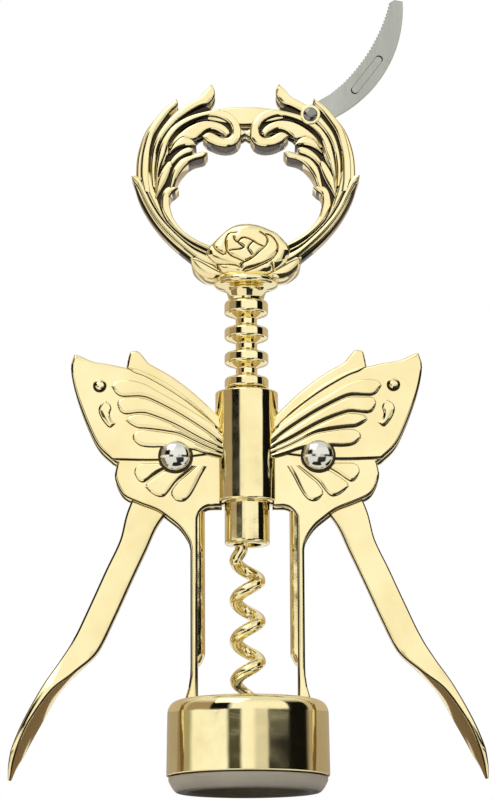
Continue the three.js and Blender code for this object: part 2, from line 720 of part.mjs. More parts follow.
function handleRing() {
  const bosses = tubeRing(bladeRivetRadius, bladeBossRadius, -ringHalfThickness - bladeBossRise,
    ringHalfThickness + bladeBossRise);
  const through = ringHalfThickness + overrun;
  const rivetBore = bar(bladeRivetRadius + runningGap, -through, through);
  const pinHole = alongX(bar(crossPinRadius + runningGap, -flareRadius, flareRadius, 12));
  const cast = join([ringPlate(), handleFlare(), rose(),
    moved(alongY(bosses), bladePivotX, 0, bladePivotZ)]);
  return cut(cast, [
    bladeSlot(), moved(alongY(rivetBore), bladePivotX, 0, bladePivotZ),
    bar(wireRadius + seatGap, handleBottom - overrun, shankTop + overrun),
    moved(pinHole, 0, 0, handlePinHeight),
  ]);
}

function bladeRivet() {
  const seat = ringHalfThickness + bladeBossRise + runningGap;
  const tail = domeProfile(bladeHeadRadius, seat, bladeHeadDome);
  const back = tail.map(([radius, y]) => [radius, -y]).reverse();
  return alongY(revolved([...back, [bladeRivetRadius, -seat], [bladeRivetRadius, seat], ...tail],
    smallRoundSteps));
}

function bladeWasher() {
  const inner = bladeRivetRadius + runningGap;
  return alongY(tubeRing(inner, bladeWasherRadius, -bladeWasherThickness / 2, bladeWasherThickness / 2));
}

// Assembly

const finishes = {
  gold: () => new THREE.MeshStandardMaterial({ color: goldColour, roughness: 0.12, metalness: 1 }),
  steel: () => new THREE.MeshStandardMaterial({ color: steelColour, roughness: 0.3, metalness: 1 }),
  plastic: () => new THREE.MeshStandardMaterial({ color: plasticColour, roughness: 0.6, metalness: 0 }),
  nylon: () => new THREE.MeshStandardMaterial({ color: nylonColour, roughness: 0.6, metalness: 0 }),
};

function piece(name, body, finish, x = 0, y = 0, z = 0) {
  const mesh = new THREE.Mesh(geometryOf(body), finishes[finish]());
  mesh.name = name;
  mesh.position.set(x, y, z);
  return mesh;
}

const corkscrew = new THREE.Group();
corkscrew.add(piece('frame_casting', frameCasting(), 'gold'));
corkscrew.add(piece('bottle_guide_insert', bottleGuide(), 'plastic'));

const rightLever = lever();
const washerSeat = (leverHalf + slotHalf) / 2;
for (const [name, side] of [['left', -1], ['right', 1]]) {
  const arm = side > 0 ? rightLever : mirrored(rightLever);
  const pivot = new THREE.Group();
  pivot.position.set(side * pivotOffset, 0, pivotHeight);
  pivot.add(piece(`lever_${name}`, arm, 'gold'));
  pivot.add(piece(`pivot_rivet_${name}`, pivotRivet(), 'steel'));
  pivot.add(piece(`pivot_rivet_cap_${name}`, rivetCap(), 'steel'));
  pivot.add(piece(`lever_washer_${name}_front`, frictionWasher(), 'nylon', 0, -washerSeat, 0));
  pivot.add(piece(`lever_washer_${name}_back`, frictionWasher(), 'nylon', 0, washerSeat, 0));
  corkscrew.add(pivot);
}

const washerMiddle = thrustWasherTop - thrustWasherThickness / 2;
const thrustWasher = tubeRing(wireRadius + seatGap, collarRadius, -thrustWasherThickness / 2,
  thrustWasherThickness / 2, 24);
corkscrew.add(piece('rack_sleeve', rackSleeve(), 'gold', 0, 0, pivotHeight));
corkscrew.add(piece('thrust_washer', thrustWasher, 'steel', 0, 0, washerMiddle));
corkscrew.add(piece('worm', worm(), 'gold'));
corkscrew.add(piece('worm_ferrule', wormFerrule(), 'gold'));
const ferrulePinLength = 2 * (ferruleRadius - seatGap);
corkscrew.add(piece('ferrule_pin', crossPin(ferrulePinLength), 'steel', 0, 0, ferrulePinHeight));
corkscrew.add(piece('handle_ring', handleRing(), 'gold'));
corkscrew.add(piece('handle_pin', crossPin(flareRadius), 'steel', 0, 0, handlePinHeight));

const bladeWasherSeat = bladeHalf + runningGap + bladeWasherThickness / 2;
corkscrew.add(piece('foil_blade', foilBlade(), 'steel'));
const bladePivot = new THREE.Group();
bladePivot.position.set(bladePivotX, 0, bladePivotZ);
bladePivot.add(piece('blade_rivet', bladeRivet(), 'steel'));
bladePivot.add(piece('blade_washer_front', bladeWasher(), 'steel', 0, -bladeWasherSeat, 0));
bladePivot.add(piece('blade_washer_back', bladeWasher(), 'steel', 0, bladeWasherSeat, 0));
corkscrew.add(bladePivot);

export default corkscrew;
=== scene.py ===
"""Wing corkscrew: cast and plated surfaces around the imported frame, laid out as an add-on.

Shape tables are in millimetres, as (across, up) pairs in the front plane; meshes are in metres.
Front is -Y. "Depth" is the distance from the middle plane, so a front face lies at y = -depth.
A table of corners has a third number for each: the radius that rounds it.
"""

import json
import math

import bpy
import numpy as np
from mathutils import Euler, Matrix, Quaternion

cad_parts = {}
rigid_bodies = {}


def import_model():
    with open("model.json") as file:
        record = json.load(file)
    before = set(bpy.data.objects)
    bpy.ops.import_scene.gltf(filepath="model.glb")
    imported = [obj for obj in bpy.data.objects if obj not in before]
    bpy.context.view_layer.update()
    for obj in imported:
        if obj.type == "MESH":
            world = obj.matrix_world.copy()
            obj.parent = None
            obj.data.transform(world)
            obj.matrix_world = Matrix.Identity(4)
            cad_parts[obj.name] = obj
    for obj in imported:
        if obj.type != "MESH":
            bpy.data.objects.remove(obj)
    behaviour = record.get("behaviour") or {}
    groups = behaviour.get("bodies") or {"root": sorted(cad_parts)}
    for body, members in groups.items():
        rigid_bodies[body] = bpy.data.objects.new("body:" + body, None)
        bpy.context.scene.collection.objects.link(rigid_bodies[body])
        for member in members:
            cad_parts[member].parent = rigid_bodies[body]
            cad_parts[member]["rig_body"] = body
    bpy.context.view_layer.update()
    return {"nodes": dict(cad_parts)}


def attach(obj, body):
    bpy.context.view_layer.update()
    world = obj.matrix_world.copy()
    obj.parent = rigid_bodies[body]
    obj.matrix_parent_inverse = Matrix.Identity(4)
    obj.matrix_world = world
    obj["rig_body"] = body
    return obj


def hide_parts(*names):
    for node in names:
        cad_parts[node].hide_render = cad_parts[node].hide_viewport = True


bl_info = {
    "name": "Wing corkscrew",
    "version": (1, 0, 0),
    "blender": (4, 5, 0),
    "location": "View3D > Sidebar > Corkscrew",
    "description": "Builds a gilt wing corkscrew with butterfly cheeks and a rose handle",
    "category": "Object",
}

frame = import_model()
MM = 0.001
CREASE_ANGLE = math.radians(40)

# Sizes shared by several pieces, in millimetres
PIVOT_X, PIVOT_Z = 17.7, 83.0
SLOT_HALF = 2.0
CHEEK_FACE, FORE_FACE, PETAL_FACE = 3.8, 4.65, 5.2
BLADE_SLOT = 1.05
BLADE_PIVOT = (16.45, 170.98)
RACK_PITCH, RACK_TOP = 6.38, 123.18
SHANK_BORE = 1.9
HANDLE_BOTTOM = 123.48


# Curves in the plane

def spline(points, count, lead=1.0):
    """Curve through the points: on each span, the cubic whose slope at a point is half the step
    between its neighbours. Places are even along the curve; lead above 1 crowds them at the start."""
    p = np.asarray(points, float)
    ends = np.vstack([2 * p[0] - p[1], p, 2 * p[-1] - p[-2]])
    a, b, c, d = (ends[i:len(p) - 1 + i, None, :] for i in range(4))
    t = np.linspace(0, 1, 14, endpoint=False)[None, :, None]
    line = b + 0.5 * t * (c - a + t * (2 * a - 5 * b + 4 * c - d + t * (3 * (b - c) + d - a)))
    line = np.vstack([line.reshape(-1, p.shape[1]), p[-1]])
    run = np.concatenate([[0.0], np.cumsum(np.linalg.norm(np.diff(line, axis=0), axis=1))])
    at = np.linspace(0, 1, count) ** lead * run[-1]
    return np.stack([np.interp(at, run, line[:, k]) for k in range(p.shape[1])], axis=1)


def unit(vectors):
    """The vectors, each divided by its length."""
    return vectors / np.linalg.norm(vectors, axis=1)[:, None]


def joined(lines):
    """Lines end to end, each from the second on without its first point, which repeats the last."""
    return np.vstack([lines[0]] + [line[1:] for line in lines[1:]])


def arc(centre, radius, start, end, count):
    """Circle arc between two angles; the radius may be an array of one for each place."""
    t = np.linspace(start, end, count)
    return np.stack([centre[0] + radius * np.cos(t), centre[1] + radius * np.sin(t)], axis=1)


def rounded(corners, steps=6):
    """A closed outline whose corners become arcs: each is the parabola that starts and ends
    at its radius from the corner, or at 0.4 of the shorter side there, with one more point
    a little beyond either end, which keeps the shading of the straight sides even."""
    p, radius = np.asarray(corners, float)[:, :2], np.asarray(corners, float)[:, 2]
    back, ahead = np.roll(p, 1, axis=0) - p, np.roll(p, -1, axis=0) - p
    lb, la = np.linalg.norm(back, axis=1), np.linalg.norm(ahead, axis=1)
    reach = np.minimum(radius, 0.4 * np.minimum(lb, la))[:, None, None]
    t = np.linspace(0, 1, steps)[None, :, None]
    back, ahead = back[:, None] / lb[:, None, None], ahead[:, None] / la[:, None, None]
    arcs = p[:, None] + reach * ((1 - t) ** 2 * back + t ** 2 * ahead)
    first, last = p[:, None] + 1.15 * reach * back, p[:, None] + 1.15 * reach * ahead
    return np.concatenate([first, arcs, last], axis=1).reshape(-1, 2)


def smooth(value, start, end):
    """Smooth step: three times the square less twice the cube of the share from start to end."""
    t = np.clip((value - start) / (end - start), 0, 1)
    return t ** 2 * (3 - 2 * t)


# Closed surfaces. A part is its points, its faces with four sides, with three, and with many

def outward(part):
    """The part with its faces turned so that the volume they enclose is positive."""
    v, quads, tris, many = part
    fans = [quads[:, [0, 1, 2]], quads[:, [0, 2, 3]], tris]
    fans += [np.stack([np.full(len(f) - 2, f[0]), f[1:-1], f[2:]], axis=1) for f in many]
    t = np.vstack([f for f in fans if len(f)])
    volume = np.einsum("ij,ij->i", v[t[:, 0]], np.cross(v[t[:, 1]], v[t[:, 2]])).sum()
    if volume < 0:
        return v, quads[:, ::-1], tris[:, ::-1], [f[::-1] for f in many]
    return part


def skin(rings, closed=False):
    """Joins closed rings of points, an array (ring, place, 3), into one closed surface. The last
    ring meets the first when closed; otherwise a pole at the middle of each end closes it."""
    n, m = rings.shape[:2]
    i = np.arange(n if closed else n - 1)[:, None]
    j = np.arange(m)[None, :]
    a, b = i * m + j, i * m + (j + 1) % m
    up = m * ((i + 1) % n) - i * m
    quads = np.stack([a, b, b + up, a + up], axis=-1).reshape(-1, 4)
    v = rings.reshape(-1, 3)
    if closed:
        return outward((v, quads, np.zeros((0, 3), int), []))
    v = np.vstack([v, rings[0].mean(axis=0), rings[-1].mean(axis=0)])
    k, nxt = np.arange(m), (np.arange(m) + 1) % m
    low = np.stack([np.full(m, n * m), nxt, k], axis=1)
    high = np.stack([np.full(m, n * m + 1), (n - 1) * m + k, (n - 1) * m + nxt], axis=1)
    return outward((v, quads, np.vstack([low, high]), []))


def revolve(profile, steps, centre=(0.0, 0.0), along="z", closed=True, span=None):
    """Carries a (radius, height) profile round an axis: the point at angle t is
    (radius cos t, radius sin t, height). With a span of two angles it is a closed segment.
    Along "y", height is depth towards the front and centre is (across, up)."""
    p = np.asarray(profile, float)
    if span is None:
        t = np.linspace(0, 2 * np.pi, steps, endpoint=False)
    else:
        t = np.linspace(*span, steps)
    x = centre[0] + p[None, :, 0] * np.cos(t)[:, None]
    y = centre[1] + p[None, :, 0] * np.sin(t)[:, None]
    h = np.broadcast_to(p[None, :, 1], x.shape)
    rings = np.stack([x, y, h] if along == "z" else [x, -h, y], axis=-1)
    if closed:
        return skin(rings, closed=span is None)
    return skin(rings.transpose(1, 0, 2))


def dome(radius, seat, rise, centre, steps=64, base=0.2):
    """A dome on a short wall, revolved about a depth axis: the wall is the base share of the rise,
    and above it the height follows the square root of one minus the square of the radius share."""
    s = np.sin(np.linspace(np.pi / 2, 0.04, 22))
    height = seat + base * rise + (1 - base) * rise * np.sqrt(1 - (s * 0.995) ** 2)
    cap = np.stack([radius * s, height], axis=1)
    return revolve(np.vstack([[(radius, seat)], cap]), steps, centre, along="y", closed=False)


def strip_section(half, low, high, edge, crown):
    """Section across a strip, for arrays of half width, low and high depth: a rectangle whose
    corners are quarter circles of the edge radius, and whose high face swells by crown times
    one minus the square of the share across, or less where the strip is narrow."""
    low, high = np.broadcast_to(low, half.shape), np.broadcast_to(high, half.shape)
    r = np.minimum(edge, np.minimum(0.85 * half, 0.45 * (high - low)))[:, None]
    flat, lo, hi = half[:, None] - r, low[:, None] + r, high[:, None] - r
    swell = crown * np.minimum(1, half / 1.2)[:, None]
    q = np.linspace(0, np.pi / 2, 5)[None, :]
    s = np.linspace(1, -1, 9)[None, 1:-1]
    right, left = r * np.cos(q), r * np.sin(q)
    across = [flat + right, s * flat, -flat - left, -flat - right, flat + left]
    depth = [hi + left, hi + r + swell * (1 - s ** 2), hi + right, lo - left, lo - right]
    return np.hstack(across), np.hstack(depth)


def leaf(edge_a, edge_b, low, high, edge, crown=0.12, count=34):
    """A raised strip between two edge curves that start at its tip: at each place along them the
    section spans the two edges, from the low to the high depth."""
    a, b = spline(edge_a, count, 1.5), spline(edge_b, count, 1.5)
    middle, reach = (a + b) / 2, (b - a) / 2
    half = np.maximum(np.linalg.norm(reach, axis=1), 0.03)
    side = reach / half[:, None]
    across, depth = strip_section(half, low, high, edge, crown)
    x = middle[:, None, 0] + side[:, None, 0] * across
    z = middle[:, None, 1] + side[:, None, 1] * across
    return skin(np.stack([x, -depth, z], axis=-1))


def plate(outline, low, high, edge):
    """A flat plate between two depths: a rounded edge profile is carried round the outline, each
    point moved inwards along the mean of its two sides' normals, and both faces are flat."""
    p = np.asarray(outline, float)
    p = p[np.linalg.norm(p - np.roll(p, 1, axis=0), axis=1) > 1e-4]
    ahead = unit(np.roll(p, -1, axis=0) - p)
    area = np.sum(p[:, 0] * np.roll(p[:, 1], -1) - p[:, 1] * np.roll(p[:, 0], -1))
    normal = np.stack([-ahead[:, 1], ahead[:, 0]], axis=1) * np.sign(area)
    inward = normal + np.roll(normal, 1, axis=0)
    inward /= np.maximum(np.sum(inward ** 2, axis=1), 1.0)[:, None] / 2
    q = np.linspace(0, np.pi / 2, 5)
    early, late = edge * (1 - np.sin(q)), edge * (1 - np.cos(q))
    inset = np.concatenate([[edge * 1.3], early, late, [edge * 1.3]])[:, None]
    depth = np.concatenate([[low], low + late, high - early, [high]])[:, None]
    x = p[None, :, 0] + inset * inward[None, :, 0]
    z = p[None, :, 1] + inset * inward[None, :, 1]
    n, m = x.shape
    v, quads, _, _ = skin(np.stack([x, np.broadcast_to(-depth, x.shape), z], axis=-1))
    faces = [np.arange(m)[::-1], (n - 1) * m + np.arange(m)]
    return outward((v[:-2], quads, np.zeros((0, 3), int), faces))


def mirrored(part, axis):
    """The part's mirror image across the plane through the origin, square to the axis number."""
    v, quads, tris, many = part
    flip = np.ones(3)
    flip[axis] = -1
    return v * flip, quads[:, ::-1], tris[:, ::-1], [f[::-1] for f in many]


def both_sides(parts, *axes):
    """The parts with their mirror images across each of the axis numbers."""
    for axis in axes:
        parts = parts + [mirrored(part, axis) for part in parts]
    return parts


# Pieces

def size(name):
    """A size from the sidebar, in millimetres."""
    return getattr(bpy.context.scene.corkscrew_sizes, name) / MM


def body_of(node):
    """The name of the body that a node of the frame belongs to."""
    return frame["nodes"][node]["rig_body"]


def add_object(name, data):
    """A new object of the scene."""
    item = bpy.data.objects.new(name, data)
    bpy.context.scene.collection.objects.link(item)
    return item


def make_piece(name, parts, material, body, replaces=(), dark=None):
    """Puts the parts into one mesh object, in metres, with its sharp edges creased. Dark marks the
    faces that get painted shade, a near black finish that stands in for shade and dark reflections:
    a mask, or a list of threes, each of which takes the faces whose normal has a depth share between
    the first two and an upward share under the third."""
    sizes = [len(part[0]) for part in parts]
    starts = np.concatenate([[0], np.cumsum(sizes)[:-1]])
    v = np.vstack([part[0] for part in parts]) * MM
    faces, flat = [], []
    for start, (_, quads, tris, many) in zip(starts, parts):
        faces += (quads + start).tolist() + (tris + start).tolist()
        flat += [False] * (len(quads) + len(tris)) + [True] * len(many)
        faces += [(f + start).tolist() for f in many]
    mesh = bpy.data.meshes.new(name)
    mesh.from_pydata(v.tolist(), [], faces)
    mesh.polygons.foreach_set("use_smooth", ~np.array(flat))
    mesh.set_sharp_from_angle(angle=CREASE_ANGLE)
    mesh.materials.append(finish(material))
    mesh.update()
    if dark is not None:
        # Second slot: painted shade
        mesh.materials.append(finish("gilt_recess"))
        if isinstance(dark, list):
            normals = np.empty(3 * len(faces))
            mesh.polygons.foreach_get("normal", normals)
            depth = np.abs(normals[1::3])
            low, high, up = np.transpose(dark)[..., None]
            dark = ((depth > low) & (depth < high) & (normals[2::3] < up)).any(axis=0)
        mesh.polygons.foreach_set("material_index", np.asarray(dark, np.int32))
    piece = add_object(name, mesh)
    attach(piece, body)
    if replaces:
        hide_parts(*replaces)


# Materials

def connect(node, inputs):
    """Sets a node's inputs, by name or place: each to a value, or to the socket that feeds it."""
    for name, value in inputs.items():
        if isinstance(value, bpy.types.NodeSocket):
            node.id_data.links.new(value, node.inputs[name])
        else:
            node.inputs[name].default_value = value
    return node


def add_node(tree, kind, inputs=None, **settings):
    """A new shader node with its settings and inputs."""
    node = tree.nodes.new(f"ShaderNode{kind}")
    for name, value in settings.items():
        setattr(node, name, value)
    return connect(node, inputs or {})


def math_node(tree, operation, *values):
    """Result of a math node; each value is a socket or a number."""
    return add_node(tree, "Math", dict(enumerate(values)), operation=operation).outputs[0]


def map_range(tree, value, start, end, low=0.0, high=1.0):
    """The value carried from the range start to end into the range low to high."""
    inputs = {"Value": value, "From Min": start, "From Max": end, "To Min": low, "To Max": high}
    return add_node(tree, "MapRange", inputs).outputs["Result"]


def mix_colour(tree, share, first, second):
    """Colour between the first and the second, by the share."""
    return add_node(tree, "Mix", {0: share, 6: first, 7: second}, data_type="RGBA").outputs[2]


def new_material(name):
    """A new material, and its node tree."""
    material = bpy.data.materials.new(name)
    material.use_nodes = True
    return material, material.node_tree


def cast_skin_group():
    """Slow waver of a polished casting plus a fine grain, as a height, and a cloudy wear mask."""
    if "cast_skin" in bpy.data.node_groups:
        return bpy.data.node_groups["cast_skin"]
    group = bpy.data.node_groups.new("cast_skin", "ShaderNodeTree")
    for way, kind, names in (("INPUT", "Vector", ["Vector"]), ("INPUT", "Float", ["Waver", "Grain"]),
                             ("OUTPUT", "Float", ["Height", "Wear"])):
        for name in names:
            group.interface.new_socket(name, in_out=way, socket_type=f"NodeSocket{kind}")
    given = group.nodes.new("NodeGroupInput").outputs
    slow, fine, cloud = (
        add_node(group, "TexNoise", {"Vector": given["Vector"], "Scale": scale, "Detail": detail,
                                     "Roughness": roughness}).outputs["Fac"]
        for scale, detail, roughness in ((150, 1.0, 0.5), (2600, 2.0, 0.5), (60, 5.0, 0.6)))
    waver = math_node(group, "MULTIPLY", slow, given["Waver"])
    grain = math_node(group, "MULTIPLY", fine, given["Grain"])
    connect(group.nodes.new("NodeGroupOutput"), {"Height": math_node(group, "ADD", waver, grain),
                                                 "Wear": map_range(group, cloud, 0.35, 0.7)})
    return group


# Finishes: the sidebar's colour and its shares when clean and when aged, metallic, roughness when
# clean and when aged, waver, grain, bump, and the pattern's scale along each axis
FINISHES = {
    "gilt": ("gold", 1, (0.93, 0.88, 0.78), 1.0, (0.04, 0.11), 0.3, 0.015, 0.18),
    # Painted shade: a near black gold for walls that face down or sideways and for grooves, which stands in
    # for shade and dark reflections
    "gilt_recess": ("recess", 1, 0.6, 0.9, (0.16, 0.3), 0.3, 0.1, 0.3),
    "rivet_steel": ("steel", 1, 0.85, 1.0, (0.06, 0.16), 0.3, 0.02, 0.2),
    "pin_steel": ("steel", 0.36, 0.26, 1.0, (0.1, 0.25), 0.3, 0.1, 0.3),
    "blade_steel": ("blade", 1, 0.82, 1.0, (0.3, 0.42), 0.1, 0.6, 0.25, (1, 1, 0.06)),
    "guide_plastic": ("plastic", 1, 0.86, 0.0, (0.38, 0.5), 0.2, 0.25, 0.35),
    "nylon": ("nylon", 1, 0.9, 0.0, (0.45, 0.6), 0.1, 0.3, 0.3),
}


def finish(key):
    """The finish of that name, made when it is first asked for. Its colour and roughness drift from
    clean to aged by the wear mask, and the casting's waver and grain are its bump."""
    name = f"{key}_finish"
    if name in bpy.data.materials:
        return bpy.data.materials[name]
    colour, clean, aged, metallic, rough, waver, grain, bump, *scale = FINISHES[key]
    colour = tuple(getattr(bpy.context.scene.corkscrew_finishes, colour))
    clean, aged = ((*np.multiply(share, colour).tolist(), 1) for share in (clean, aged))
    material, tree = new_material(name)
    place = add_node(tree, "TexCoord").outputs["Object"]
    turn = add_node(tree, "Mapping", {"Vector": place, "Scale": scale[0] if scale else (1, 1, 1)})
    cast = add_node(tree, "Group", {"Vector": turn.outputs["Vector"], "Waver": waver, "Grain": grain},
                    node_tree=cast_skin_group()).outputs
    relief = add_node(tree, "Bump", {"Strength": bump, "Distance": MM, "Height": cast["Height"]})
    connect(tree.nodes["Principled BSDF"], {
        "Base Color": mix_colour(tree, cast["Wear"], clean, aged), "Metallic": metallic,
        "Roughness": map_range(tree, cast["Wear"], 0.0, 1.0, *rough), "Normal": relief.outputs["Normal"]})
    return material


# Frame casting

FORE_WING = [
    [(6.58, 83.78), (14.47, 82.74), (21.93, 81.96), (30.7, 82.09), (33.5, 82.22)],
    [(33.5, 82.22), (36.97, 85.61), (39.47, 90.49), (41.83, 96.57), (43.24, 101.4), (43.85, 105.97),
     (42.97, 109.1)],
    [(42.97, 109.1), (41.96, 108.89), (38.37, 107.3), (34.47, 106.59), (29.86, 105.6)],
    [(29.86, 105.6), (23.85, 103.88), (19.64, 101.27), (15.96, 98.29), (10.66, 93.6), (6.58, 90.31)],
]
WING_BAND = [
    [(30.04, 105.84), (29.25, 109.49), (28.24, 110.09), (26.84, 109.8), (24.47, 106.91)],
    [(24.47, 106.91), (18.94, 103.7), (13.33, 99.39), (7.5, 93.81), (6.3, 92.2)],
]
HIND_WING = [
    [(32.32, 81.51), (32.85, 78.2), (31.96, 75.31), (30.26, 73.1), (26.15, 71.21)],
    [(26.15, 71.21), (22.14, 69.6), (19.05, 67.39), (16.65, 65.29), (14.65, 62.19), (14.1, 59.7)],
]
# Petals of the left wing: tip first, the upper edge and then the lower edge
FORE_PETALS = [
    ([(-33.75, 100.75), (-32.9, 101.9), (-30.6, 102.4), (-28.2, 102.2), (-25.2, 101.3), (-21.9, 99.4),
      (-15.4, 95.6), (-9.2, 91.5), (-6.2, 88.5)],
     [(-33.75, 100.75), (-32.5, 98.8), (-31.1, 98.05), (-28.9, 98.05), (-26.2, 98.05), (-23.5, 97.2),
      (-17, 93.8), (-10.5, 89.6), (-5.9, 86.05)]),
    ([(-32.25, 96.1), (-31.9, 97.3), (-30.9, 97.85), (-28.9, 97.85), (-26.2, 97.85), (-23.5, 97), (-17, 93.6),
      (-10.5, 89.4), (-5.9, 85.9)],
     [(-32.25, 96.1), (-31.7, 94.6), (-30.7, 93.7), (-29.4, 93.6), (-26.7, 93.9), (-24.3, 93.6),
      (-18.1, 91.1), (-11, 87.15), (-5.9, 84.8)]),
    ([(-30.1, 92.1), (-29.7, 93), (-28.6, 93.4), (-26.7, 93.7), (-24.3, 93.4), (-21.3, 92.3), (-18.1, 90.9),
      (-11, 86.95), (-5.9, 84.65)],
     [(-30.1, 92.1), (-29.2, 91.2), (-27.2, 90.1), (-25.1, 89.9), (-21.8, 89.5), (-19.4, 89.1), (-16.4, 88.4),
      (-10.5, 85.5), (-6, 83.65)]),
    ([(-28.45, 87.6), (-28, 88.9), (-26.7, 89.6), (-25, 89.7), (-21.8, 89.3), (-19.4, 88.9), (-16.4, 88.2),
      (-10.5, 85.3), (-6, 83.5)],
     [(-28.45, 87.6), (-27.6, 86.4), (-26.1, 85.45), (-23.4, 85.15), (-21.5, 85.2), (-17.7, 84.9),
      (-13.4, 84.5), (-10.5, 83.55), (-6.4, 82.5)]),
]
HIND_PETALS = [
    ([(-28, 78.9), (-27.7, 80.3), (-26.5, 81.2), (-24, 81.3), (-20.5, 81.3)],
     [(-28, 78.9), (-27.2, 77.3), (-26.1, 76.5), (-24.9, 76.9), (-22.8, 78.4), (-20.2, 80)]),
    ([(-25.3, 75.4), (-24.7, 76.5), (-22.4, 78.15), (-20.1, 79.6), (-17, 80.9)],
     [(-25.3, 75.4), (-23.9, 73.95), (-22.2, 72.95), (-20.6, 72.95), (-19.3, 74.3), (-17.75, 76.4),
      (-15.9, 78), (-12.7, 80.6)]),
    ([(-18.95, 73.5), (-18.6, 74.7), (-17.3, 76.4), (-15.6, 77.9), (-12.4, 80.7)],
     [(-18.95, 73.5), (-17.6, 71.9), (-15.7, 71.7), (-14.2, 72.9), (-12.85, 75.1), (-11.5, 77.8),
      (-9.95, 80.5)]),
]
# Thin rib under the wing's top edge
RIB = ([(-29.7, 105.6), (-27.7, 105.3), (-25.2, 104.3), (-22, 102.7), (-18.7, 100.8), (-15.45, 98.3),
        (-11.9, 95.4), (-8.9, 92.5), (-6.6, 89.7)],
       [(-29.7, 105.6), (-28.2, 104.3), (-25.6, 103.3), (-22.3, 101.5), (-19, 99.5), (-15.6, 97.2),
        (-12, 94.5), (-8.9, 91.9), (-6.5, 89.2)])
COMMA = ([(-35, 97), (-34.1, 96.3), (-33.65, 95.2), (-34, 93.8), (-33.75, 92.5), (-32.6, 91.3)],
         [(-35, 97), (-36.2, 96.4), (-36.9, 94.9), (-36.4, 93), (-35.3, 91.3), (-34, 90.2), (-32.6, 91.3)])
DOT = (-36.6, 100.9)
# Outline of a cheek's foot: the sleeve's wall, the arch's centre and radius, and the leg
SLEEVE_FOOT = [(6.3, 70.6), (8.8, 70.6)]
ARCH_CENTRE, ARCH_RADIUS = (8.8, 67.1), 3.5
LEG = [(12.3, 22.1), (15.6, 22.1), (15.25, 23.4), (14.6, 25.6), (14.2, 28.2), (14.1, 30.5)]
WING_ROOT = (6.3, 92.0)
BELL_CORNERS = [(6, 22.6, 0.5), (6, 19, 0.3), (16.9, 19, 0.6), (16.9, 4, 0.3), (20.1, 4, 0.35),
                (19.8, 22.6, 3.6)]
SLEEVE_BORE, SLEEVE_FROM, SLEEVE_TO, WINDOW_TOP = 5.9, 71.8, 99.9, 94.6
SEAT_CORNERS = [(2.5, 3.0, 0.1), (4.35, 3.0, 0.1), (4.35, 5.1, 0.3), (2.5, 5.1, 0.1)]
GUIDE_CORNERS = [(15.25, 0, 0.1), (17.7, 0, 1.0), (18.8, 1.3, 0.8), (19.6, 3.0, 0.3), (19.6, 3.7, 0.25),
                 (16.75, 3.7, 0.1), (16.75, 14, 0.3), (14.75, 14, 0.3), (14.75, 0.5, 0.1)]
CHEEK_EDGE, FORE_SEAT, FORE_EDGE = 0.65, 3.2, 0.68
# Seat, face and edge radius of the petals, and radius, seat and rise of the dot
FORE_PETAL, HIND_PETAL = (3.6, PETAL_FACE, 0.5), (3.0, CHEEK_FACE + 0.65, 0.45)
RIB_SHAPE, COMMA_SHAPE, DOT_SHAPE = (3.6, 4.9, 0.25), (3.8, PETAL_FACE, 0.5), (1.75, 4.2, 1.1)
# Web inside a leg: heights of its ends, the leg's side, its reach and half thickness, and from where
# and over which height it grows
WEB_FOOT, WEB_TOP, WEB_SIDE, WEB_REACH, WEB_HALF = 30.6, 69.6, 13.0, 2.5, 3.0
WEB_FROM, WEB_GROWTH = 30.55, 3.4
# Walls that get painted shade by their normals, as make_piece takes them: sideways walls that do not face up
CHEEK_SHADE, PETAL_SHADE = [(0.3, 0.95, 0.15)], [(0.3, 0.94, 0.4)]


def bell():
    """Bell: the wall's closed (radius, height) profile, with its shoulder rounded, revolved."""
    return revolve(rounded(BELL_CORNERS, 14), 192)


def sleeve():
    """Sleeve: a front and a back shell, whose closed (radius, height) profile is carried round less
    than half a turn, and a narrow segment at either side that closes the tube above the windows."""
    wide = size("sleeve_radius")
    top = [(wide, SLEEVE_TO, 0.55), (SLEEVE_BORE, SLEEVE_TO, 0.4)]
    shell = rounded([(SLEEVE_BORE, SLEEVE_FROM, 0.3), (wide, SLEEVE_FROM, 0.55)] + top)
    side = rounded([(SLEEVE_BORE, WINDOW_TOP, 0.2), (wide, WINDOW_TOP, 0.2)] + top)
    start = math.asin(SLOT_HALF / wide)
    front = revolve(shell, 110, span=(-math.pi + start, -start))
    right = revolve(side, 14, span=(-start, start))
    return [front, mirrored(front, 1), right, mirrored(right, 0)]


def cheek_outline():
    """Outline of a right cheek: arch and leg, hind wing, the wing's outer edge and its top band."""
    arch = [(ARCH_CENTRE[0] + ARCH_RADIUS * math.sin(t), ARCH_CENTRE[1] + ARCH_RADIUS * math.cos(t))
            for t in np.linspace(0.2, math.pi / 2, 8)]
    hind = joined([spline(line, 18)[::-1] for line in reversed(HIND_WING)])
    fore = joined([spline(FORE_WING[1], 30), spline(FORE_WING[2], 16)])[:-1]
    band = joined([spline(line, 18) for line in WING_BAND])
    return np.vstack([SLEEVE_FOOT, arch, LEG, hind, fore, band, [WING_ROOT]])


def leg_web():
    """Web inside a leg: a half ellipse carried straight up, whose reach from the leg grows from
    nothing at its foot with the square root of the height."""
    z = np.linspace(WEB_FOOT, WEB_TOP, 60)[:, None]
    reach = WEB_REACH * np.sqrt(np.clip((z - WEB_FROM) / WEB_GROWTH, 0.002, 1))
    t = np.linspace(-np.pi / 2, np.pi / 2, 25)[None, :]
    x = WEB_SIDE - reach * np.cos(t)
    return skin(np.stack([x, WEB_HALF * np.sin(t) + 0 * z, z + 0 * t], axis=-1))


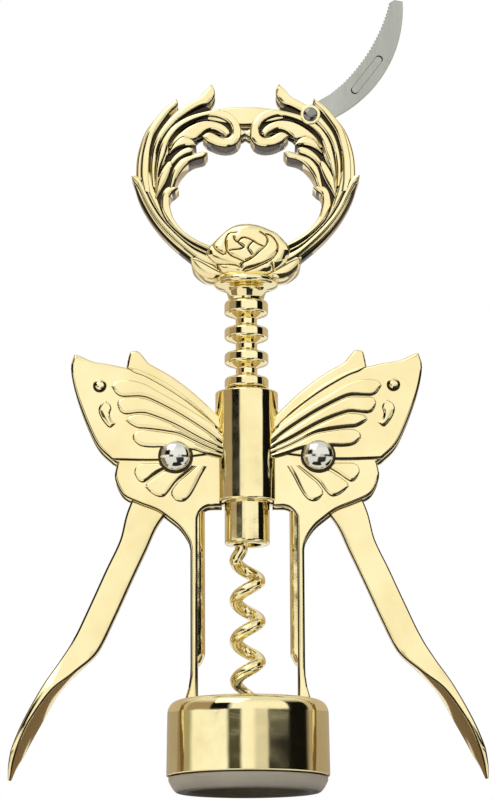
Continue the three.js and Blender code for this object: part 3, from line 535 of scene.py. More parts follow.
class CORKSCREW_OT_frame_casting(bpy.types.Operator):
    """Bell, legs, sleeve and the two butterfly cheeks of the casting"""
    bl_idname = "corkscrew.frame_casting"
    bl_label = "Frame casting"

    def execute(self, context):
        make_piece("bell", [bell()], "gilt", "frame", ["frame_casting"])
        make_piece("rack_guide_sleeve", sleeve(), "gilt", "frame")
        cheek = plate(cheek_outline(), SLOT_HALF, CHEEK_FACE, CHEEK_EDGE)
        fore = np.vstack([spline(line, 24)[:-1] for line in FORE_WING])
        fore = plate(fore, FORE_SEAT, FORE_FACE, FORE_EDGE)
        make_piece("butterfly_cheeks", both_sides([cheek, fore], 0, 1), "gilt", "frame", dark=CHEEK_SHADE)
        make_piece("leg_webs", both_sides([leg_web()], 0), "gilt", "frame")
        petals = [leaf(*edges, *FORE_PETAL) for edges in FORE_PETALS] + [leaf(*RIB, *RIB_SHAPE)]
        petals += [leaf(*edges, *HIND_PETAL) for edges in HIND_PETALS]
        petals += [leaf(*COMMA, *COMMA_SHAPE), dome(*DOT_SHAPE, DOT, 48)]
        make_piece("wing_petals", both_sides(petals, 0, 1), "gilt", "frame", dark=PETAL_SHADE)
        # The rivet seats have the painted shade finish: near black rings for the shade round the rivet heads
        seat = revolve(rounded(SEAT_CORNERS), 72, (-PIVOT_X, PIVOT_Z), along="y")
        make_piece("rivet_seats", both_sides([seat], 0, 1), "gilt_recess", "frame")
        return {"FINISHED"}


class CORKSCREW_OT_bottle_guide(bpy.types.Operator):
    """Plastic bottle guide in the bell"""
    bl_idname = "corkscrew.bottle_guide"
    bl_label = "Bottle guide"

    def execute(self, context):
        make_piece("bottle_guide", [revolve(rounded(GUIDE_CORNERS), 160)], "guide_plastic", "frame",
                   ["bottle_guide_insert"])
        return {"FINISHED"}


# Levers

# Centre line of the right lever from its pivot: across, down, share of the change from strap to
# paddle, and taper
LEVER_STATIONS = [
    (3.65, 6.97, 0, 1.5), (8.12, 14.66, 0, 1.2), (10.64, 21.71, 0, 1), (14.33, 29.73, 0, 1),
    (18.43, 38.88, 0, 1), (22.13, 46.49, 0, 0.98), (26.51, 52, 0.28, 0.86), (30.77, 57.43, 0.75, 0.88),
    (35, 64.88, 0.97, 0.93), (37.9, 70.71, 1, 0.8), (39.9, 75.82, 1, 0.58), (40.8, 79.79, 1, 0.34),
]
TEETH, SECTOR_TEETH = 13, 6
# Half a tooth: angles from its middle, and the outside radius at each
TOOTH_FLANK = ([0, 0.0483, 0.0735, 0.0986, 0.1135, 0.115], [14.6, 14.6, 14, 13.2, 12.404, 11.85])
HUB_BORE, HUB_EDGE = 2.55, 0.25
# Half sizes of the arm's section: across and through, of the strap and of the paddle
STRAP_ACROSS, STRAP_THROUGH, PADDLE_ACROSS, PADDLE_THROUGH = 3.55, 1.5, 0.85, 4.6
ARM_EDGE, ARM_LEAN, ARM_STATIONS = 0.62, math.radians(17), 110
# Rivets: seat, rise and shank, as (radius, depth)
RIVET_SEAT, RIVET_RISE, RIVET_SHANK = 5.3, 2.3, [(2.4, 5.4), (2.4, -4.9)]
# Places round the section whose faces, on its rounded edges, get painted shade
SHADED_EDGES = [1, 2, 13, 14, 18, 19, 23, 24]


def gear_hub():
    """Hub and gear sector of the right lever: a section from the bore out to the tooth outline is
    carried round the pivot. Outside radius at an angle follows the tooth flank's curve."""
    turn = 2 * math.pi
    centres = math.pi + turn / TEETH * (np.arange(SECTOR_TEETH) - 0.5)
    marks = (centres[:, None] + np.outer([-1, 1], TOOTH_FLANK[0]).reshape(1, -1)).ravel()
    t = np.concatenate([marks, np.linspace(0, turn, 120, endpoint=False)])
    t = np.unique(np.round(np.mod(t, turn), 5))
    off = np.abs(np.mod(t[:, None] - centres[None, :] + np.pi, turn) - np.pi).min(axis=1)
    half = (np.interp(off, *TOOTH_FLANK) - HUB_BORE) / 2
    across, depth = strip_section(half, -STRAP_THROUGH, STRAP_THROUGH, HUB_EDGE, 0.0)
    radius = HUB_BORE + half[:, None] + across
    x = PIVOT_X + radius * np.cos(t)[:, None]
    z = PIVOT_Z - radius * np.sin(t)[:, None]
    return skin(np.stack([x, -depth, z], axis=-1), closed=True)


def lever_arm():
    """Arm of the right lever, and the mask of its shaded faces: a rounded rectangle carried down
    the centre line. By the change share it goes from a flat strap to a paddle, which shows its
    narrow side and leans its front outwards; the last places draw in with the square root."""
    line = spline(LEVER_STATIONS, ARM_STATIONS)
    x, z = PIVOT_X + line[:, 0], PIVOT_Z - line[:, 1]
    along = unit(np.gradient(np.stack([x, z], axis=1), axis=0))
    change, taper = np.clip(line[:, 2], 0, 1), line[:, 3]
    point = np.ones(len(line))
    point[-10:] = np.sqrt(np.linspace(1, 0.12, 10))
    half = point * ((1 - change) * taper * STRAP_ACROSS + change * PADDLE_ACROSS)
    thin = point * ((1 - change) * STRAP_THROUGH + change * taper * PADDLE_THROUGH)
    across, depth = strip_section(half, -thin, thin, ARM_EDGE, 0.0)
    lean = (change * ARM_LEAN)[:, None]
    flat = across * np.cos(lean) - depth * np.sin(lean)
    y = across * np.sin(lean) + depth * np.cos(lean)
    px = x[:, None] - along[:, None, 1] * flat
    pz = z[:, None] + along[:, None, 0] * flat
    places = across.shape[1]
    shaded = np.tile(np.isin(np.arange(places), SHADED_EDGES), len(line) - 1)
    return skin(np.stack([px, y, pz], axis=-1)), np.append(shaded, np.zeros(2 * places, bool))


class CORKSCREW_OT_levers(bpy.types.Operator):
    """Twisted levers with their gear sectors"""
    bl_idname = "corkscrew.levers"
    bl_label = "Levers"

    def execute(self, context):
        hub, (arm, shaded) = gear_hub(), lever_arm()
        dark = np.append(np.zeros(len(hub[1]), bool), shaded)
        for side, parts in (("right", [hub, arm]), ("left", [mirrored(hub, 0), mirrored(arm, 0)])):
            make_piece(f"lever_arm_{side}", parts, "gilt", f"{side}_arm", [f"lever_{side}"], dark=dark)
        return {"FINISHED"}


class CORKSCREW_OT_rivets(bpy.types.Operator):
    """Domed rivets and caps of the lever pivots"""
    bl_idname = "corkscrew.rivets"
    bl_label = "Pivot rivets"

    def execute(self, context):
        for side, x in (("left", -PIVOT_X), ("right", PIVOT_X)):
            head = dome(size("rivet_radius"), RIVET_SEAT, RIVET_RISE, (x, PIVOT_Z), 96, 0.1)
            shank = revolve(RIVET_SHANK, 48, (x, PIVOT_Z), along="y", closed=False)
            for name, parts in (("rivet", [head, shank]), ("rivet_cap", [mirrored(head, 1)])):
                make_piece(f"{name}_{side}", parts, "rivet_steel", "frame", [f"pivot_{name}_{side}"])
        return {"FINISHED"}


# Rack, worm and ferrule

COLLARS, COLLAR_SLOPE = 8, math.radians(20)
# Worm, from its tip up: the helix, which draws in to the axis in two steps, and the straight shank
WORM_PITCH, WORM_PHASE, WORM_DRAW = 10.05, 52.445, 1.35
POINT_FROM, POINT_LENGTH = 21.6, 6
WORM_TIP, HELIX_END, DRAW_END, AXIS_FROM, SHANK_MIDDLE, SHANK_TOP = 21.62, 57.4, 60.4, 66, 100, 133.9
FERRULE_CORNERS = [(3.5, 61.3, 0.2), (5.6, 61.3, 0.9), (5.6, 72.9, 0.35), (1.75, 72.9, 0.1),
                   (1.75, 67, 0.1), (3.5, 67, 0.3)]
THRUST_CORNERS = [(1.9, 73.2, 0.2), (5.5, 73.2, 0.2), (5.5, 74.0, 0.2), (1.9, 74.0, 0.2)]


def rack():
    """Rack: a collar every pitch, each a land with two sloping flanks, revolved about the axis."""
    collar, neck, land = size("collar_radius"), size("neck_radius"), size("collar_land")
    flank = (collar - neck) * math.tan(COLLAR_SLOPE)
    middle = PIVOT_Z + RACK_PITCH * (np.arange(COLLARS) - 1)[:, None]
    height = (middle + [-land / 2 - flank, -land / 2, land / 2, land / 2 + flank]).ravel()
    radius = np.tile([neck, collar, collar, neck], COLLARS)
    height[-1], radius[-1] = RACK_TOP, collar - 0.3
    corners = np.stack([radius, height, np.tile([0.32, 0.6, 0.6, 0.32], COLLARS)], axis=1)
    bore = [(SHANK_BORE, RACK_TOP, 0.2), (SHANK_BORE, height[0], 0.2)]
    return revolve(rounded(np.vstack([corners, bore]), 8), 128)


def worm():
    """Worm: a circle of the wire's radius carried along a helix, which draws in to the axis by two
    smooth steps and goes on as a straight shank. The wire is drawn out to a point at the tip: its
    radius there follows the 0.8th power of the height share."""
    z = np.concatenate([np.linspace(WORM_TIP, AXIS_FROM, 900), [SHANK_MIDDLE, SHANK_TOP]])
    angle = 2 * np.pi * (np.minimum(z, HELIX_END) - WORM_PHASE) / WORM_PITCH
    radius = size("helix_radius") - WORM_DRAW * smooth(z, HELIX_END, DRAW_END)
    radius = radius * (1 - smooth(z, DRAW_END, AXIS_FROM))
    line = np.stack([radius * np.cos(angle), radius * np.sin(angle), z], axis=1)
    along = unit(np.gradient(line, axis=0))
    side = unit(np.cross([0.0, 1.0, 0.0], along))
    third = np.cross(along, side)
    wire = size("wire_radius") * np.clip((z - POINT_FROM) / POINT_LENGTH, 0.02, 1) ** 0.8
    t = np.linspace(0, 2 * np.pi, 28, endpoint=False)[None, :, None]
    ring = side[:, None] * np.cos(t) + third[:, None] * np.sin(t)
    return skin(line[:, None] + wire[:, None, None] * ring)


class CORKSCREW_OT_screw(bpy.types.Operator):
    """Rack sleeve, worm, ferrule and thrust washer"""
    bl_idname = "corkscrew.screw"
    bl_label = "Rack and worm"

    def execute(self, context):
        make_piece("rack", [rack()], "gilt", "rack", ["rack_sleeve"])
        make_piece("worm_wire", [worm()], "gilt", "handle", ["worm"])
        tube = revolve(rounded(FERRULE_CORNERS, 10), 128)
        make_piece("ferrule", [tube], "gilt", "handle", ["worm_ferrule"])
        make_piece("thrust_ring", [revolve(rounded(THRUST_CORNERS), 96)], "rivet_steel",
                   body_of("thrust_washer"), ["thrust_washer"])
        return {"FINISHED"}


# Handle ring. Leaves of its left half, tip first: one edge, then the other, and the depth of the
# front face. In the tables of leaves and of the rose, heights are too low by RING_LIFT

RING_LIFT = 0.6
# Outermost leaf, second leaf, C scroll and its inner leaf
STRANDS = [
    ([(-17.4, 174.75), (-20.24, 172.66), (-23.25, 169.05), (-24.85, 166.29), (-25.83, 162.91),
      (-26.4, 159.96), (-26.65, 157), (-26.6, 154.07), (-25.9, 150.6)],
     [(-17.4, 174.75), (-17.2, 173.2), (-19, 171.32), (-20.81, 168.94), (-22.73, 165.88), (-23.71, 162.92),
      (-24.3, 159.97), (-24.5, 156.61), (-24.45, 153.25), (-24, 150.3)], 4.1),
    ([(-8.6, 178.6), (-10.29, 176.96), (-11.7, 175.34), (-13.73, 174.19), (-16.16, 172.69), (-18.38, 170.77),
      (-20.2, 168.64), (-22, 166.1), (-23.2, 163.2), (-23.9, 159.98), (-24.1, 156.61), (-23.8, 152.2)],
     [(-8.6, 178.6), (-7.75, 177), (-8.03, 175.07), (-9.24, 173.58), (-11.27, 172.9), (-13.71, 171.6),
      (-16.14, 169.9), (-18.36, 167.85), (-20.17, 165.7), (-21.44, 163.5), (-22.35, 160.7), (-22.8, 157.88),
      (-22.97, 154.94), (-22.7, 151.3)], 3.9),
    ([(-10.9, 164.9), (-9.9, 163.6), (-8.75, 162.95), (-6.71, 162.15), (-4.27, 162), (-2.3, 162.75),
      (-1.2, 164.4), (-1.15, 166.9), (-2.1, 169.15), (-3.9, 171.05), (-6.37, 171.95), (-10.04, 171.45),
      (-14.51, 170.15), (-18.15, 167.9), (-19.9, 165.9), (-21.2, 163.7), (-21.9, 161.67), (-22.5, 158.3),
      (-22.8, 154.94), (-22.6, 151)],
     [(-10.9, 164.9), (-10, 165.75), (-8.77, 165.95), (-7.34, 165.2), (-5.91, 164.5), (-4.4, 164.6),
      (-3.6, 165.3), (-3.4, 166.7), (-4.2, 168.3), (-5.9, 169.5), (-8.4, 170.2), (-11.25, 169.8),
      (-14.49, 168.45), (-17.2, 166.5), (-18.7, 164.6), (-19.75, 162.3), (-20.3, 160), (-21.2, 157.47),
      (-22, 154.1), (-22.3, 151)], 4.1),
    ([(-5, 164.9), (-3.9, 165.8), (-4.6, 167.3), (-6.35, 168.6), (-9.21, 169.3), (-12.05, 168.9),
      (-15.3, 167.2), (-18, 164.7), (-19.6, 162.2)],
     [(-5, 164.9), (-6.33, 165.95), (-8.37, 166.85), (-10.2, 166.4), (-11.7, 165.2), (-12.9, 164.3),
      (-15.6, 164.5), (-17.3, 163.5), (-18.9, 161.8)], 3.35),
]
# Leaves below the blade's space, through the whole thickness
LOW_STRANDS = [
    ([(-13.1, 161.7), (-14.4, 162.2), (-16.2, 161.5), (-18.2, 159.8), (-19.9, 157.2)],
     [(-13.1, 161.7), (-13.6, 160.5), (-15.3, 159.8), (-17.2, 158.5), (-19.2, 156.2)], 3.7),
    ([(-12.5, 162.6), (-13.2, 163.9), (-14.4, 164.7), (-16, 164.9), (-17.6, 163.7), (-19.2, 161.3)],
     [(-12.5, 162.6), (-14, 162.5), (-15.5, 162.4), (-17, 161.9), (-18.2, 161.2), (-19.4, 160.2)], 3.6),
    ([(-10.3, 164.1), (-8.75, 162.95), (-6.71, 162.15), (-4.27, 162), (-2.3, 162.75), (-1.25, 164.3)],
     [(-10.3, 164.1), (-8, 164.3), (-6.3, 163.7), (-4.6, 163.7), (-3, 164.1), (-1.4, 164.8)], 3.6),
    ([(-19.7, 162.4), (-20.3, 161.4), (-21.4, 159.15), (-22.3, 156.62), (-22.8, 154.1), (-22.9, 151)],
     [(-19.7, 162.4), (-19.5, 160.6), (-20.1, 158.32), (-21.3, 156.21), (-22.2, 153.68),
      (-22.7, 150.6)], 3.7),
    ([(-18.7, 158.3), (-19.4, 158.4), (-20.2, 157.7), (-21.5, 155.6), (-22.4, 153.1), (-22.9, 149.4)],
     [(-18.7, 158.3), (-18.6, 157.2), (-19, 155.4), (-20.1, 152.8), (-21.3, 150.7), (-22.6, 148.4)], 4.0),
    ([(-9.6, 160.6), (-11.17, 160.85), (-13.4, 160.1), (-16.03, 159.1), (-17.56, 157.6), (-18.5, 155.9),
      (-19.1, 153.4), (-19.6, 150.4)],
     [(-9.6, 160.6), (-10.6, 159.2), (-12.77, 158.6), (-14.39, 157.7), (-16, 156), (-17.3, 153.9),
      (-17.9, 152.1), (-18.9, 149.6)], 4.1),
]
# Outer walls, which swell past the faces: of the leaves, then of the band
WALLS = [
    ([(-18.6, 173.4), (-21.4, 171.5), (-24.4, 168.3), (-25.9, 165.6), (-26.95, 162.5), (-27.55, 159.6),
      (-27.75, 156.8), (-27.7, 154), (-27.1, 151)],
     [(-18.6, 173.4), (-19.2, 170.5), (-21.2, 167.5), (-22.6, 164.5), (-23.5, 161.5), (-24, 158.5),
      (-24.2, 156), (-24, 153.5), (-23.5, 151)], 2.6),
    ([(-28.6, 153.9), (-28.1, 152.2), (-27.1, 148.9), (-25.4, 145.4), (-22.9, 141.6), (-19.5, 137.7),
      (-15.3, 133.9), (-11.7, 131.3), (-6, 129.2)],
     [(-28.6, 153.9), (-26, 152.5), (-24, 149), (-22, 145), (-20, 142), (-17, 139), (-13, 136.3), (-9, 134.5),
      (-6, 133.5)], 2.7),
]
# Recessed ground between the leaves: above the blade's space, and through the whole thickness
HIGH_GROUND = [
    ([(-19.8, 171.4), (-22.9, 168.6), (-24.9, 164.5), (-25.8, 160), (-26, 156), (-25.4, 152)],
     [(-18.9, 170.6), (-18.5, 167), (-19.4, 163.5), (-20.5, 160), (-21.5, 156), (-22.3, 152)], 2.9),
    ([(-10.6, 173.2), (-13, 172.2), (-17.2, 169.8), (-20.6, 165.6), (-22.4, 161.6)],
     [(-8.9, 172.5), (-12, 169.5), (-16, 167), (-18.6, 163.6), (-19.9, 160.5)], 2.9),
    ([(-2.9, 167.5), (-5, 169.5), (-9, 169.8), (-14, 168.2), (-17.5, 165.4), (-19.5, 161.5)],
     [(-3.4, 165), (-6, 166), (-9, 166.2), (-12.5, 164.6), (-16, 163.9), (-18.5, 161.2)], 2.5),
]
LOW_GROUND = [
    ([(-22.6, 160.5), (-22.9, 157), (-23.2, 153), (-23, 147.5)],
     [(-17.9, 158.2), (-18.4, 155), (-19.2, 151.6), (-20.4, 147)], 2.9),
    ([(-14, 161.3), (-15.4, 162.3), (-16.8, 162.4), (-18.6, 161.3), (-20.5, 159)],
     [(-13.4, 160.2), (-14.2, 159.4), (-15.2, 158.8), (-16.7, 157.6), (-18.2, 156)], 2.8),
    ([(-26.5, 152), (-25.3, 149.3), (-22.3, 143.9), (-18.2, 139.6), (-13.5, 135.8), (-8, 133)],
     [(-19.5, 151), (-19.9, 147.5), (-19, 143.6), (-16.5, 140.4), (-12.8, 137.6), (-8, 135.5)], 3.1),
]
# Lower band, through the whole thickness
BAND_STRANDS = [
    ([(-28.85, 154.6), (-28.3, 153), (-27.4, 151.9), (-26.07, 149.3), (-24.41, 146), (-21.94, 142.3),
      (-18.66, 138.6), (-14.58, 134.9), (-11.5, 132.6), (-6, 130.2)],
     [(-28.85, 154.6), (-27.6, 154.6), (-26.5, 153.5), (-25.1, 150.3), (-23.5, 146.9), (-21.4, 143.6),
      (-18.4, 140.2), (-14.19, 136.3), (-11, 134.4), (-6, 132.4)], 4.1),
    ([(-26.3, 157.5), (-26.4, 155.5), (-25.9, 152.8), (-24.9, 150.1), (-23.3, 146.8), (-21.2, 143.6),
      (-18.3, 140.3), (-14, 136.4), (-9.3, 133.9), (-6, 132.6)],
     [(-26.3, 157.5), (-24.4, 155.8), (-23.5, 152.6), (-22.9, 150.3), (-22.2, 148.3), (-21.2, 145.4),
      (-19.8, 142.6), (-17.6, 140.1), (-13.9, 137.1), (-9.3, 134.7), (-6, 133.4)], 3.85),
    ([(-16.95, 151.5), (-18.4, 151.85), (-20.2, 151.4), (-21.3, 149.3), (-21.3, 146), (-20, 143),
      (-17.8, 140.5), (-14.2, 137.6), (-9.3, 135.1), (-6, 133.9)],
     [(-16.95, 151.5), (-17.7, 150.6), (-18.9, 149.6), (-19.25, 148.4), (-19.06, 146.3), (-18.1, 143.3),
      (-15.85, 140.4), (-13, 138.3), (-9.34, 136.5), (-6, 135.6)], 4.1),
]
# Leaf behind the rose, and its vein
ROSE_LEAF = ([(-14, 133.4), (-11.8, 134.1), (-9.3, 133.1), (-7.2, 131.3), (-5, 129.6)],
             [(-14, 133.4), (-13.2, 130.4), (-10.9, 128.35), (-8.66, 127.75), (-7, 128), (-5, 128.3)])
ROSE_VEIN = ([(-13.4, 133.05), (-11.2, 132.2), (-9, 130.9), (-6.4, 129.5)],
             [(-13.4, 132.9), (-11.3, 131.95), (-9.1, 130.65), (-6.5, 129.25)])
# Bridge between the two halves over the blade's space, and the knot under it
TOP_BAND = ([(-9.5, 172), (-4, 172.8), (0, 172.95), (4, 172.8), (9.5, 172)],
            [(-9.5, 169.4), (-4, 168.4), (0, 168.2), (4, 168.4), (9.5, 169.4)])
KNOT = ([(-2.6, 167.3), (-0.9, 166.9), (0, 166.2), (0.9, 166.9), (2.6, 167.3)],
        [(-2.6, 164.5), (-0.9, 164.9), (0, 165.4), (0.9, 164.9), (2.6, 164.5)])
# Neck and flare of the foot, as (radius, height over its lower end)
FLARE = [
    (4.42, 0), (4.5, 0.7), (4.75, 1.6), (5.1, 2.4), (5.75, 2.95), (6.9, 3.3), (7.7, 3.65), (8.05, 4.1),
    (8.1, 4.55), (7.95, 5.1), (7.5, 5.5), (5, 6.1),
]
BOSS_CORNERS = [(1.1, 3.0, 0.05), (2.6, 3.0, 0.05), (2.6, 4.5, 0.3), (1.1, 4.5, 0.1)]
# Faces of the ring that point downwards get painted shade, as make_piece takes them
RING_SHADE = [(0.0, 0.94, -0.1), (-1.0, 0.3, -0.75)]
# The rose's grooves and the roll of its petals, and how much its lines grow from its centre
GROOVE_DEPTH, GROOVE_WIDTH, ROLL_DEPTH, ROLL_WIDTH = 0.4, 0.17, 0.2, 0.45
ROSE_CENTRE, ROSE_GROWTH = (0.6, 135.1), (1.08, 1.03)
ROSE_OUTLINE = [
    (10.4, 135.1), (9.9, 136.3), (8.5, 137.97), (7.14, 139.4), (5.4, 140.3), (3.09, 141.3), (0.6, 141.75),
    (-2.07, 141.45), (-4.08, 140.43), (-5.86, 138.8), (-7.64, 136.94), (-8.9, 135.55), (-9.3, 134.2),
    (-8.9, 132.8), (-7.2, 131), (-5.8, 129.4), (-3.5, 128.8), (0.48, 128.7), (5, 129), (7, 129.9),
    (9.1, 131.5), (9.9, 133.2),
]
ROSE_LINES = [
    [(-2.28, 139.4), (-3.51, 139.39), (-4.4, 138.58), (-4.73, 137.19), (-4.61, 135.81), (-4.38, 134.66),
     (-3.36, 133.51), (-2.01, 132.83), (-0.44, 132.03)],
    [(-2.83, 138.36), (-2.6, 137.55), (-1.93, 136.98), (-1.15, 137.72), (-0.03, 138.03), (1.32, 137.46),
     (2.67, 136.55), (4.02, 135.86)],
    [(-1.93, 136.98), (-1.14, 136.18), (-0.57, 135.6), (-1.13, 135.18), (-2.7, 135.01), (-3.71, 134.84)],
    [(1.66, 137), (0.77, 135.96), (0.48, 135.15), (0.89, 134.46), (1.34, 133.77)],
    [(3.33, 139.55), (4.11, 138.98), (4.79, 138.29), (5.02, 137.25), (4.69, 136.1), (3.13, 134.47),
     (2.02, 133.36), (0.68, 132.38), (-0.66, 131.68), (-1.33, 130.64)],
    [(4.68, 138.98), (5.8, 138.64), (6.81, 137.5), (7.38, 136.11), (7.27, 134.5), (6.5, 133.11),
     (5.38, 132.07), (3.6, 131.13), (1.81, 130.32), (0.02, 129.73)],
    [(-7.64, 136.71), (-7.41, 135.79), (-6.5, 134.64), (-5.15, 133.84), (-4.6, 134.4)],
    [(-9, 134.63), (-8.85, 133.24), (-8.05, 132.33), (-7.15, 131.64), (-5.36, 131.42), (-3.57, 131.32),
     (-2.22, 131.1), (-1.33, 130.64)],
    [(-6.7, 131.3), (-6.47, 130.61), (-6.25, 129.92)],
    [(6.05, 131.73), (6.28, 130.58), (6.4, 129.66)],
]


def rose():
    """Front of the rose, and the mask of the faces in its grooves, which get painted shade: on a polar
    grid out to its outline, depth is a steep rim with a dome of one minus the square of the radius
    share, less a groove along each petal line, whose depth falls off as exp(-(distance / width) to the
    fourth), and a softer roll of the petals towards the line, which falls off as exp(-distance / width)."""
    centre = np.array(ROSE_CENTRE)
    edge = centre + ROSE_GROWTH * (spline(ROSE_OUTLINE + ROSE_OUTLINE[:1], 380)[:-1] - centre)
    share = np.concatenate([np.linspace(1, 0.985, 3), np.linspace(0.97, 0.02, 110)])[:, None]
    grid = centre + share[..., None] * (edge - centre)[None]
    marks = np.vstack([spline(line, 14 * len(line)) for line in ROSE_LINES])
    marks = centre + ROSE_GROWTH * (marks - centre)
    flat = grid.reshape(-1, 2)
    near = np.full(len(flat), 1e9)
    for chunk in np.array_split(marks, 12):
        near = np.minimum(near, ((flat[:, None, :] - chunk[None]) ** 2).sum(axis=2).min(axis=1))
    near = np.sqrt(near).reshape(grid.shape[:2])
    rim = np.sqrt(np.clip(1 - (0.99 * share) ** 9, 0, 1))
    depth = 3.7 + 1.3 * rim + 0.55 * (1 - share ** 2)
    depth = depth - GROOVE_DEPTH * np.exp(-(near / GROOVE_WIDTH) ** 4)
    depth = depth - ROLL_DEPTH * np.exp(-near / ROLL_WIDTH)
    wall = np.stack([edge[:, 0], np.zeros(len(edge)), edge[:, 1]], axis=-1)[None]
    front = np.stack([grid[..., 0], -depth, grid[..., 1]], axis=-1)
    near = np.vstack([np.full((1, len(edge)), 9.0), near])
    worst = np.maximum(near, np.roll(near, -1, axis=1))
    groove = np.maximum(worst[:-1], worst[1:]).ravel() < 0.14
    return skin(np.concatenate([wall, front])), np.append(groove, np.zeros(2 * len(edge), bool))


def ring_leaves(table, *shape, through=False):
    """Leaves of a table, from the blade's space or through the whole thickness to the front face."""
    return [leaf(a, b, -high if through else BLADE_SLOT, high, *shape) for a, b, high in table]


def lifted(parts):
    """The ring's parts, moved up to where their tables' heights belong."""
    return [(part[0] + (0, 0, RING_LIFT), *part[1:]) for part in parts]


class CORKSCREW_OT_handle_ring(bpy.types.Operator):
    """Ring handle of scroll leaves, with its rose and flared foot"""
    bl_idname = "corkscrew.handle_ring"
    bl_label = "Ring handle"

    def execute(self, context):
        leaves = ring_leaves(STRANDS, 0.42, 0.12, 40) + ring_leaves(WALLS[:1], 1.3, 0.0, 44)
        bridge = [leaf(*TOP_BAND, BLADE_SLOT, 2.9, 0.5, 0.1, 24), leaf(*KNOT, BLADE_SLOT, 3.3, 0.4, 0.1, 24)]
        through = ring_leaves(BAND_STRANDS + LOW_STRANDS, 0.42, 0.12, 44, through=True)
        through += ring_leaves(WALLS[1:], 1.5, 0.0, 44, through=True)
        ring = both_sides(leaves, 0, 1) + both_sides(bridge, 1) + both_sides(through, 0)
        make_piece("ring_scrolls", lifted(ring), "gilt", "handle", ["handle_ring"], dark=RING_SHADE)
        # The ground between the leaves has the painted shade finish: near black for the shade and dark
        # reflections there
        ground = both_sides(ring_leaves(HIGH_GROUND, 0.3, 0.0, 30), 0, 1)
        ground += both_sides(ring_leaves(LOW_GROUND, 0.3, 0.0, 30, through=True), 0)
        make_piece("ring_ground", lifted(ground), "gilt_recess", "handle")
        foot = spline(np.array(FLARE) + (0, HANDLE_BOTTOM), 60)
        foot = np.vstack([[(SHANK_BORE, foot[0, 1])], foot, [(SHANK_BORE, foot[-1, 1])]])
        make_piece("ring_foot", [revolve(foot, 128)], "gilt", "handle")
        front, grooves = rose()
        # The faces in the rose's grooves get painted shade
        make_piece("ring_rose", lifted(both_sides([front], 1)), "gilt", "handle", dark=np.tile(grooves, 2))
        leaves = both_sides([leaf(*ROSE_LEAF, -3.7, 3.7, 0.5, 0.3, 40)], 0)
        make_piece("rose_leaves", lifted(leaves), "gilt", "handle")
        # The veins have the painted shade finish: dark lines for the shade in them
        veins = both_sides([leaf(*ROSE_VEIN, 3.6, 4.05, 0.05, 0.0, 24)], 0, 1)
        make_piece("rose_leaf_veins", lifted(veins), "gilt_recess", "handle")
        boss = revolve(rounded(BOSS_CORNERS), 64, BLADE_PIVOT, along="y")
        make_piece("blade_bosses", both_sides([boss], 1), "gilt", "handle")
        return {"FINISHED"}


# Foil blade

# Arcs, as centre and radius, and the point's distance and angle from the pivot
BLADE_BACK, BLADE_EDGE = ((7.8, 200.48), 32.7), ((-8.05, 213.18), 46.4)
BLADE_POINT = (38.4, math.radians(55.3))
TEETH_DEPTH, TEETH_RATE = 0.34, 150
PIN_SEAT, PIN_RISE, PIN_SHANK = 4.6, 0.75, [(1.0, 4.7), (1.0, -4.7)]
# Nail nick: the ends of its middle line, its half breadth, and the bead's half breadth and rise
NICK_ENDS, NICK_HALF, NICK_BEAD, NICK_RISE = ((28.0, 178.6), (34.1, 186.6)), 0.95, 0.24, 0.1


def blade():
    """Foil blade: outline of a convex back, a point, a concave edge cut into fine teeth by the
    absolute sine of its angle, and a round tang, as a plate with worn edges."""
    back = arc(*BLADE_BACK, -1.012, 0.0505, 40)
    point = arc(BLADE_PIVOT, BLADE_POINT[0], BLADE_POINT[1], BLADE_POINT[1], 1)
    t = np.linspace(-0.25, -0.8795, 300)
    centre, radius = BLADE_EDGE
    teeth = TEETH_DEPTH * np.abs(np.sin(t * TEETH_RATE)) * np.clip((0.86 + t) * 12, 0, 1)
    edge = arc(centre, radius + teeth, t[0], t[-1], len(t))
    tang = arc(BLADE_PIVOT, 3.0, 0.64 * math.pi, 1.56 * math.pi, 24)
    return plate(np.vstack([back, point, edge, tang]), -0.5, 0.5, 0.05)


def nail_nick():
    """Engraved line of the nail nick: a small round bead carried round a stadium."""
    a, b = np.array(NICK_ENDS)
    base = math.atan2(b[0] - a[0], a[1] - b[1])
    loop = np.vstack([arc(a, NICK_HALF, base, base + math.pi, 14),
                      arc(b, NICK_HALF, base - math.pi, base, 14)])
    out = unit(loop - (a + b) / 2)
    t = np.linspace(0, 2 * np.pi, 8, endpoint=False)[None]
    x = loop[:, None, 0] + NICK_BEAD * np.cos(t) * out[:, None, 0]
    z = loop[:, None, 1] + NICK_BEAD * np.cos(t) * out[:, None, 1]
    y = np.broadcast_to(-0.47 + NICK_RISE * np.sin(t), x.shape)
    return skin(np.stack([x, y, z], axis=-1), closed=True)


class CORKSCREW_OT_foil_blade(bpy.types.Operator):
    """Serrated foil blade and its rivet"""
    bl_idname = "corkscrew.foil_blade"
    bl_label = "Foil blade"

    def execute(self, context):
        make_piece("foil_cutter", [blade()], "blade_steel", "blade", ["foil_blade"])
        # The nick's line has the painted shade finish: a dark line for the shade in the engraving
        make_piece("nail_nick", both_sides([nail_nick()], 1), "gilt_recess", "blade")
        head = dome(size("pin_radius"), PIN_SEAT, PIN_RISE, BLADE_PIVOT)
        shank = revolve(PIN_SHANK, 32, BLADE_PIVOT, along="y", closed=False)
        make_piece("blade_pin", [head, mirrored(head, 1), shank], "pin_steel",
                   body_of("blade_rivet"), ["blade_rivet"])
        return {"FINISHED"}


class CORKSCREW_OT_small_hardware(bpy.types.Operator):
    """Finishes of the washers and cross pins that keep their own shape"""
    bl_idname = "corkscrew.small_hardware"
    bl_label = "Washers and pins"

    def execute(self, context):
        for name, node in frame["nodes"].items():
            if node.hide_render:
                continue
            node.data.materials.clear()
            node.data.materials.append(finish("nylon" if name.startswith("lever_washer") else "rivet_steel"))
        return {"FINISHED"}


# Stage

